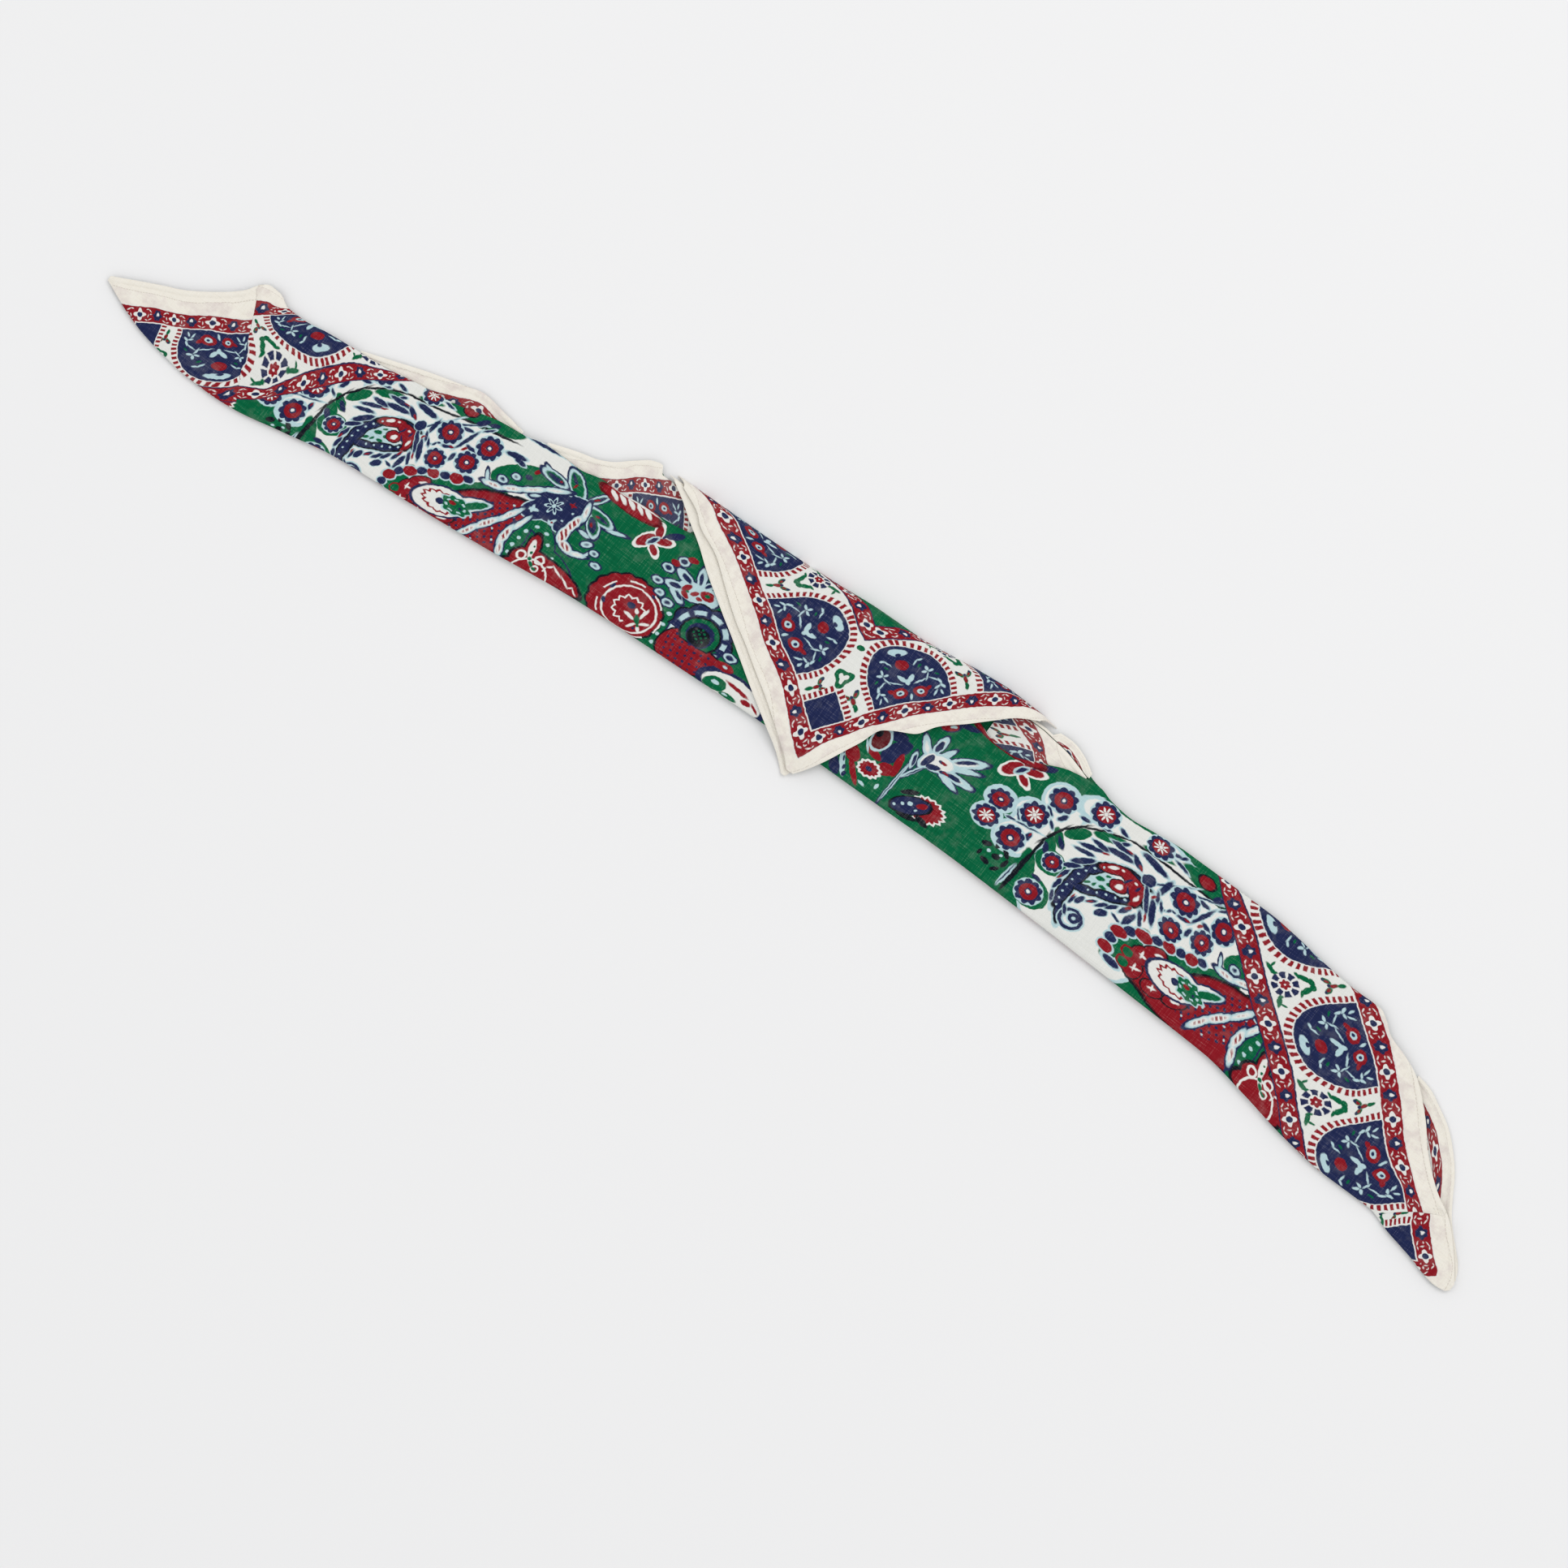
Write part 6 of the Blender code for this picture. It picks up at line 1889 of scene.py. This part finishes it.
@dataclass
class BackLayers:
    """Layers behind the front face that look out past its far edge."""

    spacing: float = 1.2
    columns: int = 20
    least_width: float = 1.2
    lift: float = 0.06
    hem_share: float = 0.8
    crumple_share: float = 0.5
    # where more of the border shows beside a far hem, how far to both sides, and how much more
    slip_at: float = -208.0
    slip_reach: float = 34.0
    slip: float = 4.5

    def rows_over(self, line: Rows) -> tuple[Array, Array, Section]:
        """Places along the stretch of a line, shares of a layer's width, and the section there."""
        start, end = line[0][0], line[-1][0]
        place = np.linspace(start, end, int((end - start) / self.spacing) + 2)[:, None]
        return place, np.linspace(0, 1, self.columns)[None, :], Section(place)

    def shelf_grid(
        self, inner: Rows | None, outer: Rows, droop: float, cloth: ClothMap | float
    ) -> ClothGrid:
        """A layer that lies on the shelf of the hidden ones.

        Args:
            inner: Its near edge, or nothing where that lies under the front face.
            outer: Its far edge, the hem.
            droop: How far the hem hangs.
            cloth: Its place on the square, or how much the hem's margin is stretched.

        Returns:
            The grid.
        """
        place, share, band = self.rows_over(outer)
        if inner is None:
            first = band.far - UNDER_FRONT
        else:
            first = smooth(inner, place) + GAP + 0.05
        last = np.maximum(smooth(outer, place), first + self.least_width)
        across = first + share * (last - first)
        along = place + 0 * across
        up = band.shelf_top + PLY + self.lift - droop * share**4 + 0 * across
        edge = np.stack([place[:, 0], last[:, 0]], axis=1)
        inside = distance_to_line(along, across, edge)
        up = up + HEM.relief(inside, along) * self.hem_share
        up = up + self.crumple_share * crumple(along, across)
        sides = self.sides(cloth, along, across, inside)
        return ClothGrid(along, across, up, sides, field_at(along, across))

    def sides(self, cloth: ClothMap | float, along: Array, across: Array, inside: Array) -> Array:
        """Distances from the square's sides: by the map, or straight from the hem."""
        if isinstance(cloth, ClothMap):
            return cloth.at(along, across)
        slip = self.slip * ease(1 - np.abs(along - self.slip_at) / self.slip_reach)
        return np.stack([inside * cloth + slip, 150 - along * 0.9], axis=-1)

    def corner_grid(self) -> ClothGrid:
        """The layer behind the right corner, on the floor beside the hidden ones."""
        place, share, band = self.rows_over(RIGHT_CORNER_HEM)
        first = np.maximum(band.far - 2.6, band.near + 0.5)
        across = first + share * (smooth(RIGHT_CORNER_HEM, place) - first)
        along = place + 0 * across
        swell = 0.12 * np.sin(math.pi * share) * ease((352 - place) / 12)
        edge = np.array([row[:2] for row in RIGHT_CORNER_HEM])
        inside = distance_to_line(along, across, edge)
        up = WALL + 0.02 + swell + HEM.relief(inside, along) * self.hem_share + 0 * across
        up = up + 0.35 * np.sin((along + across) / 3.1) * ease((along - 340) / 10) * ease(inside / 4)
        sides = np.stack([inside * 1.9, 380 - along], axis=-1)
        return ClothGrid(along, across, up, sides, field_at(along, across))

    def build(self, works: PrintWorks) -> None:
        """Makes the hems and the two windows beside the flap."""
        window = LEFT_WINDOW[:-1] + LEFT_WINDOW_UNDER_FLAP
        left, right = ClothMap(LEFT_WINDOW_CLOTH), ClothMap(RIGHT_WINDOW_CLOTH)
        for part, grid, finishes in (
            (ClothPart("scarf_hem_far_left", "hem_far_left", "hem_cloth", (0.085, 0.012), 0.0007),
             self.shelf_grid(None, FAR_HEM, HEM_DROOP, 1.35), works.hem),
            (ClothPart("scarf_window_left", "layer_left_window", "wrong_side_cloth", (0.080, 0.027),
                       0.0012),
             self.shelf_grid(None, window, 0.0, left), works.wrong),
            (ClothPart("scarf_window_right", "layer_right_window", "wrong_side_cloth", (0.050, 0.024),
                       0.0007),
             self.shelf_grid(None, INNER_RIGHT_HEM, 0.0, right), works.wrong),
            (ClothPart("scarf_hem_far_right", "hem_far_right", "hem_cloth", (0.040, 0.010), 0.00018),
             self.shelf_grid(INNER_RIGHT_HEM, OUTER_RIGHT_HEM, HEM_DROOP, 3.0), works.hem),
            (ClothPart("scarf_layer_right_corner", "layer_right_corner", "hem_cloth", (0.095, 0.016),
                       0.0008),
             self.corner_grid(), works.hem),
        ):
            part.finish(grid, finishes)


@dataclass
class MiddleFlap:
    """The square's other corners, turned over the far edge and down over the front."""

    columns: int = 96
    fold_steps: int = 9
    fold_past_ends: Row = (5.3, 8.3)
    level_step: float = 1.0
    blend_from: float = 66.0
    # over how much it comes down past the near edge, and how much of the height it loses there
    edge_inset: float = 3.0
    fall_reach: float = 16.0
    fall_share: float = 0.98

    def base(self, along: Array, across: Array) -> Array:
        """What the flap lies on: the front face, and down past its near edge."""
        band = Section(along)
        edge = band.near + self.edge_inset
        inside = np.clip(across, edge, band.far - SHOULDER)
        base = face_height(along, inside) + folds_at(FOLDS, along, inside)
        out = np.clip((edge - across) / self.fall_reach, 0, 1)
        return base * (1 - ease(out) * self.fall_share)

    def grid(self, rows: Rows, sheets_below: int, fold_in: float, fold_low: float) -> ClothGrid:
        """One layer of the flap, round the far fold and down to its point.

        Args:
            rows: Its left and right ends, level by level.
            sheets_below: How many of the flap's layers it lies on.
            fold_in: How far its fold is inside the outermost one.
            fold_low: Height of its cut edge below the fold.

        Returns:
            The grid, fold first.
        """
        columns = np.linspace(0, 1, self.columns)[None, :]
        down = rows[::-1]
        rise = sheets_below * (PLY + 0.2) + WALL + GAP
        along, across, up, unrolled = [], [], [], []
        top_start = rows[0][1] - self.fold_past_ends[0] + fold_in
        top_end = rows[0][2] + self.fold_past_ends[1] - fold_in
        for angle in np.linspace(0, math.pi / 2, self.fold_steps + 1)[:-1]:
            part = math.sin(angle)
            wide = top_end - top_start + part * (rows[0][2] - rows[0][1] - top_end + top_start)
            a = top_start + part * (rows[0][1] - top_start) + columns * wide
            fold = smooth(FLAP_FOLD, a) - fold_in
            crest = self.base(a, smooth(FLAP_FOLD, a) - FLAP_FOLD_DEPTH) + rise
            along.append(a)
            across.append(fold - (FLAP_FOLD_DEPTH - fold_in) * (1 - math.cos(angle)))
            up.append(fold_low + (crest - fold_low) * part)
            unrolled.append(across[-1] + crest - up[-1])
        levels = np.arange(FLAP_FOLD_LEVEL, rows[-1][0] + 0.4, -self.level_step)
        for level in np.append(levels, rows[-1][0]):
            left, right = float(smooth(down, level, 1)), float(smooth(down, level, 2))
            a = left + columns * (right - left)
            at_fold = smooth(FLAP_FOLD, a) - FLAP_FOLD_DEPTH - (FLAP_FOLD_LEVEL + FLAP_TILT * a)
            bend = ease((level - self.blend_from) / (FLAP_FOLD_LEVEL - self.blend_from))
            c = level + FLAP_TILT * a + at_fold * bend
            along.append(a)
            across.append(c)
            up.append(self.base(a, c) + rise)
            unrolled.append(c)
        along, across, up, unrolled = (np.concatenate(x, axis=0) for x in (along, across, up, unrolled))
        if sheets_below:
            for a0, c0, reach, lift in HEM_LIFTS:
                away = np.hypot(along - a0, across - c0)
                up = up + lift * hump(away, reach) * ease((columns - 0.55) / 0.4)
        up = up + self.relief(along, across, sheets_below)
        sides = ClothMap(FLAP_CLOTH).at(along, unrolled)
        return ClothGrid(along, across, up, sides, field_at(along, unrolled))

    def relief(self, along: Array, across: Array, sheets_below: int) -> Array:
        """Both hems, the fine crumple, and the ripples of the lower hem."""
        height = 0.8 * crumple(along * 1.2 + 40, across * 1.1) * (1.0 if sheets_below else 0.3)
        for side in (0, -1):
            edge = np.stack([along[self.fold_steps:, side], across[self.fold_steps:, side]], axis=1)
            height = height + HEM.relief(distance_to_line(along, across, edge), along + across)
        return height

    def build(self, works: PrintWorks) -> None:
        """Makes the under layer and the upper one."""
        part = ClothPart("scarf_flap_under", "flap_under", "wrong_side_cloth", (0.200, 0.105), 0.0085,
                         ("scarf_front_left", "scarf_front_right"))
        part.finish(self.grid(UNDER_FLAP_ROWS, 0, UNDER_FLAP_INSET, 1.6), works.under)
        part = ClothPart("scarf_flap_upper", "flap_upper", "border_cloth", (0.205, 0.110), 0.0089,
                         ("scarf_flap_under",))
        part.finish(self.grid(UPPER_FLAP_ROWS, 1, 0.0, 0.2), works.bordered)


@dataclass
class HiddenLayers:
    """The folded layers that nothing shows of but their edges and the underside."""

    spacing: float = 2.0
    top_points: int = 24
    bottom_points: int = 40
    plies: int = 4
    fold_depth: float = 0.8
    clearance: float = 0.12  # between the stack and the cloth over it
    end_insets: Row = (2.6, 3.2)
    # how far each ply's fold lies in, as a share of that depth
    insets: Row = (0.0, 0.55, 0.2, 0.7, 0.35)

    def edge(self) -> list[tuple[float, float]]:
        """Outline of stacked rounded folds: distance in from the edge, share of the height."""
        rows = [(1.0, 0.0)]
        for ply in range(self.plies):
            inset = self.insets[ply] * self.fold_depth
            for part in (0.12, 0.3, 0.5, 0.7, 0.88):
                bulge = 0.55 * (1 - math.sin(math.pi * part))
                rows.append((0.12 + inset + bulge, (ply + part) / self.plies))
            rows.append((0.95 + inset, (ply + 1) / self.plies))
        return rows

    def ring(self, here: float) -> list[tuple[float, float]]:
        """One section of the stack: across and up, from the near edge over the top."""
        band = Section(np.array(here))
        near, far, level = float(band.near), float(band.far), float(band.level)
        small = min(1.0, (far - near) / 9.0)
        wall_top = level - PLY - self.clearance
        skirt = float(band.near_drop + SKIRT * band.near_wrap)
        low = min(level - skirt - GAP - 0.05, wall_top - 0.1)
        shelf = min(float(band.shelf_top), wall_top - 0.04)
        hidden_far = float(band.hidden_far)
        inset = max(2.0 + 1.6 * float(band.shelf) / SHELF, far - hidden_far + 1.5)
        ring = [(near + small * dx, low * z) for dx, z in self.edge()]
        ring.append((near + small * 2.0, low))
        first, last = near + small * 3.4, far - small * (inset + 1.2)
        for share in np.linspace(0, 1, self.top_points):
            across = first + share * (last - first)
            ring.append((across, float(face_height(here, across)) - PLY - self.clearance))
        ring.append((far - small * inset, min(shelf + 0.5, wall_top - 0.02)))
        ring.append((far - small * (inset - 0.1), shelf))
        ring += [(hidden_far - small * dx, shelf * z) for dx, z in self.edge()[::-1]]
        low_first, low_last = ring[-1][0], ring[0][0]
        shares = np.linspace(0, 1, self.bottom_points + 2)[1:-1]
        return ring + [(low_first + share * (low_last - low_first), 0.0) for share in shares]

    def build(self, works: PrintWorks) -> None:
        """Makes the stack as one closed form."""
        sections = int((RIGHT_END - LEFT_END) / self.spacing)
        first, last = LEFT_END + self.end_insets[0], RIGHT_END - self.end_insets[1]
        places = np.linspace(first, last, sections)
        rings = np.array([[(here, c, z) for c, z in self.ring(here)] for here in places])
        rows, count = rings.shape[:2]
        along, across, up = rings[..., 0], rings[..., 1], rings[..., 2]
        index = np.arange(rows * count).reshape(rows, count)
        after = np.roll(index, -1, axis=1)
        faces = np.stack([index[:-1], index[1:], after[1:], after[:-1]], axis=-1)
        faces = faces.reshape(-1, 4).tolist() + [index[0].tolist(), index[-1][::-1].tolist()]
        mesh = bpy.data.meshes.new("scarf_hidden_layers")
        mesh.from_pydata(in_row_frame(along, across, up), [], faces)
        loops = np.empty(len(mesh.loops), np.int32)
        mesh.loops.foreach_get("vertex_index", loops)
        steps = (np.diff(part, axis=1, append=part[:, :1]) for part in (across, up))
        girth = np.cumsum(np.hypot(*steps), axis=1)
        spot = np.stack([along + 100.0, girth * 0.9 - 6.0], axis=-1).reshape(-1, 2)[loops]
        far_in = np.full((len(loops), 2), 200.0)
        bake = np.stack([index // count / (rows - 1), index % count / count], axis=-1)
        bake = bake.reshape(-1, 2)[loops]
        dress(mesh, works.printed, {UVName.BAKE: bake, UVName.BORDER: far_in, UVName.FIELD: spot})
        obj = link("scarf_hidden_layers", mesh)
        bpy.ops.object.shade_smooth_by_angle(angle=math.radians(60))
        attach(obj, "root")
        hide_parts("folded_layers")
        log.info("%s: %d faces", obj.name, len(mesh.polygons))


# ---------------------------------------------------------------- stage
@dataclass
class Stage:
    """The pale floor, the soft light and the camera straight above."""

    floor_half: float = 3.0
    floor_colour: tuple[float, float, float, float] = (0.86, 0.86, 0.865, 1.0)
    camera_height: float = 3.0
    middle: tuple[float, float] = (0.0016, -0.0406)
    view_width: float = 0.7129
    turn: float = 36.87
    sky: float = 0.783
    # name, place, width and power of each light
    soft_lights: tuple = (
        ("key_light", (0.3, 1.4, 2.6), 1.8, 21.0),
        ("fill_light", (-1.4, -1.2, 2.4), 2.4, 6.0),
    )

    def build(self) -> None:
        """Makes the floor, lights and camera."""
        self.floor()
        self.lights()
        self.camera()

    def floor(self) -> None:
        """A wide plane under the scarf."""
        bpy.ops.object.select_all(action="DESELECT")
        bpy.ops.mesh.primitive_plane_add(size=2 * self.floor_half, location=(0, 0, 0))
        plane = bpy.context.active_object
        plane.name = "floor"
        plane.data.materials.append(PlainFinish("studio_floor", self.floor_colour).material())

    def area_light(self, name: str, place: Row, size: float, power: float) -> None:
        """A square soft light that looks at the scarf."""
        data = bpy.data.lights.new(name, "AREA")
        data.size, data.energy = size, power
        lamp = bpy.data.objects.new(name, data)
        bpy.context.scene.collection.objects.link(lamp)
        lamp.location = place
        x, y, z = place
        turn = math.atan2(-y, -x) - math.pi / 2
        lamp.rotation_euler = (math.atan2(math.hypot(x, y), z), 0.0, turn)

    def lights(self) -> None:
        """A large light from the far side, a weaker one opposite it, and an even sky."""
        for light in self.soft_lights:
            self.area_light(*light)
        world = bpy.data.worlds.new("studio")
        bpy.context.scene.world = world
        world.use_nodes = True
        background = world.node_tree.nodes["Background"]
        background.inputs["Color"].default_value = (1.0, 1.0, 1.0, 1.0)
        background.inputs["Strength"].default_value = self.sky

    def camera(self) -> None:
        """Straight down, turned so that the scarf lies as in the photograph."""
        data = bpy.data.cameras.new("camera")
        data.sensor_width = 36.0
        data.lens = data.sensor_width * self.camera_height / self.view_width
        camera = bpy.data.objects.new("camera", data)
        bpy.context.scene.collection.objects.link(camera)
        camera.location = (*self.middle, self.camera_height)
        camera.rotation_euler = (0.0, 0.0, math.radians(self.turn))
        bpy.context.scene.camera = camera
        bpy.context.scene.view_settings.view_transform = "Standard"


def main() -> None:
    """Builds the scarf and its stage, piece by piece."""
    logging.basicConfig(level=logging.INFO, format="%(name)s %(message)s")
    Stage().build()
    works = PrintWorks()
    FrontFace().build(works)
    BackLayers().build(works)
    MiddleFlap().build(works)
    HiddenLayers().build(works)


if __name__ == "__main__":
    main()
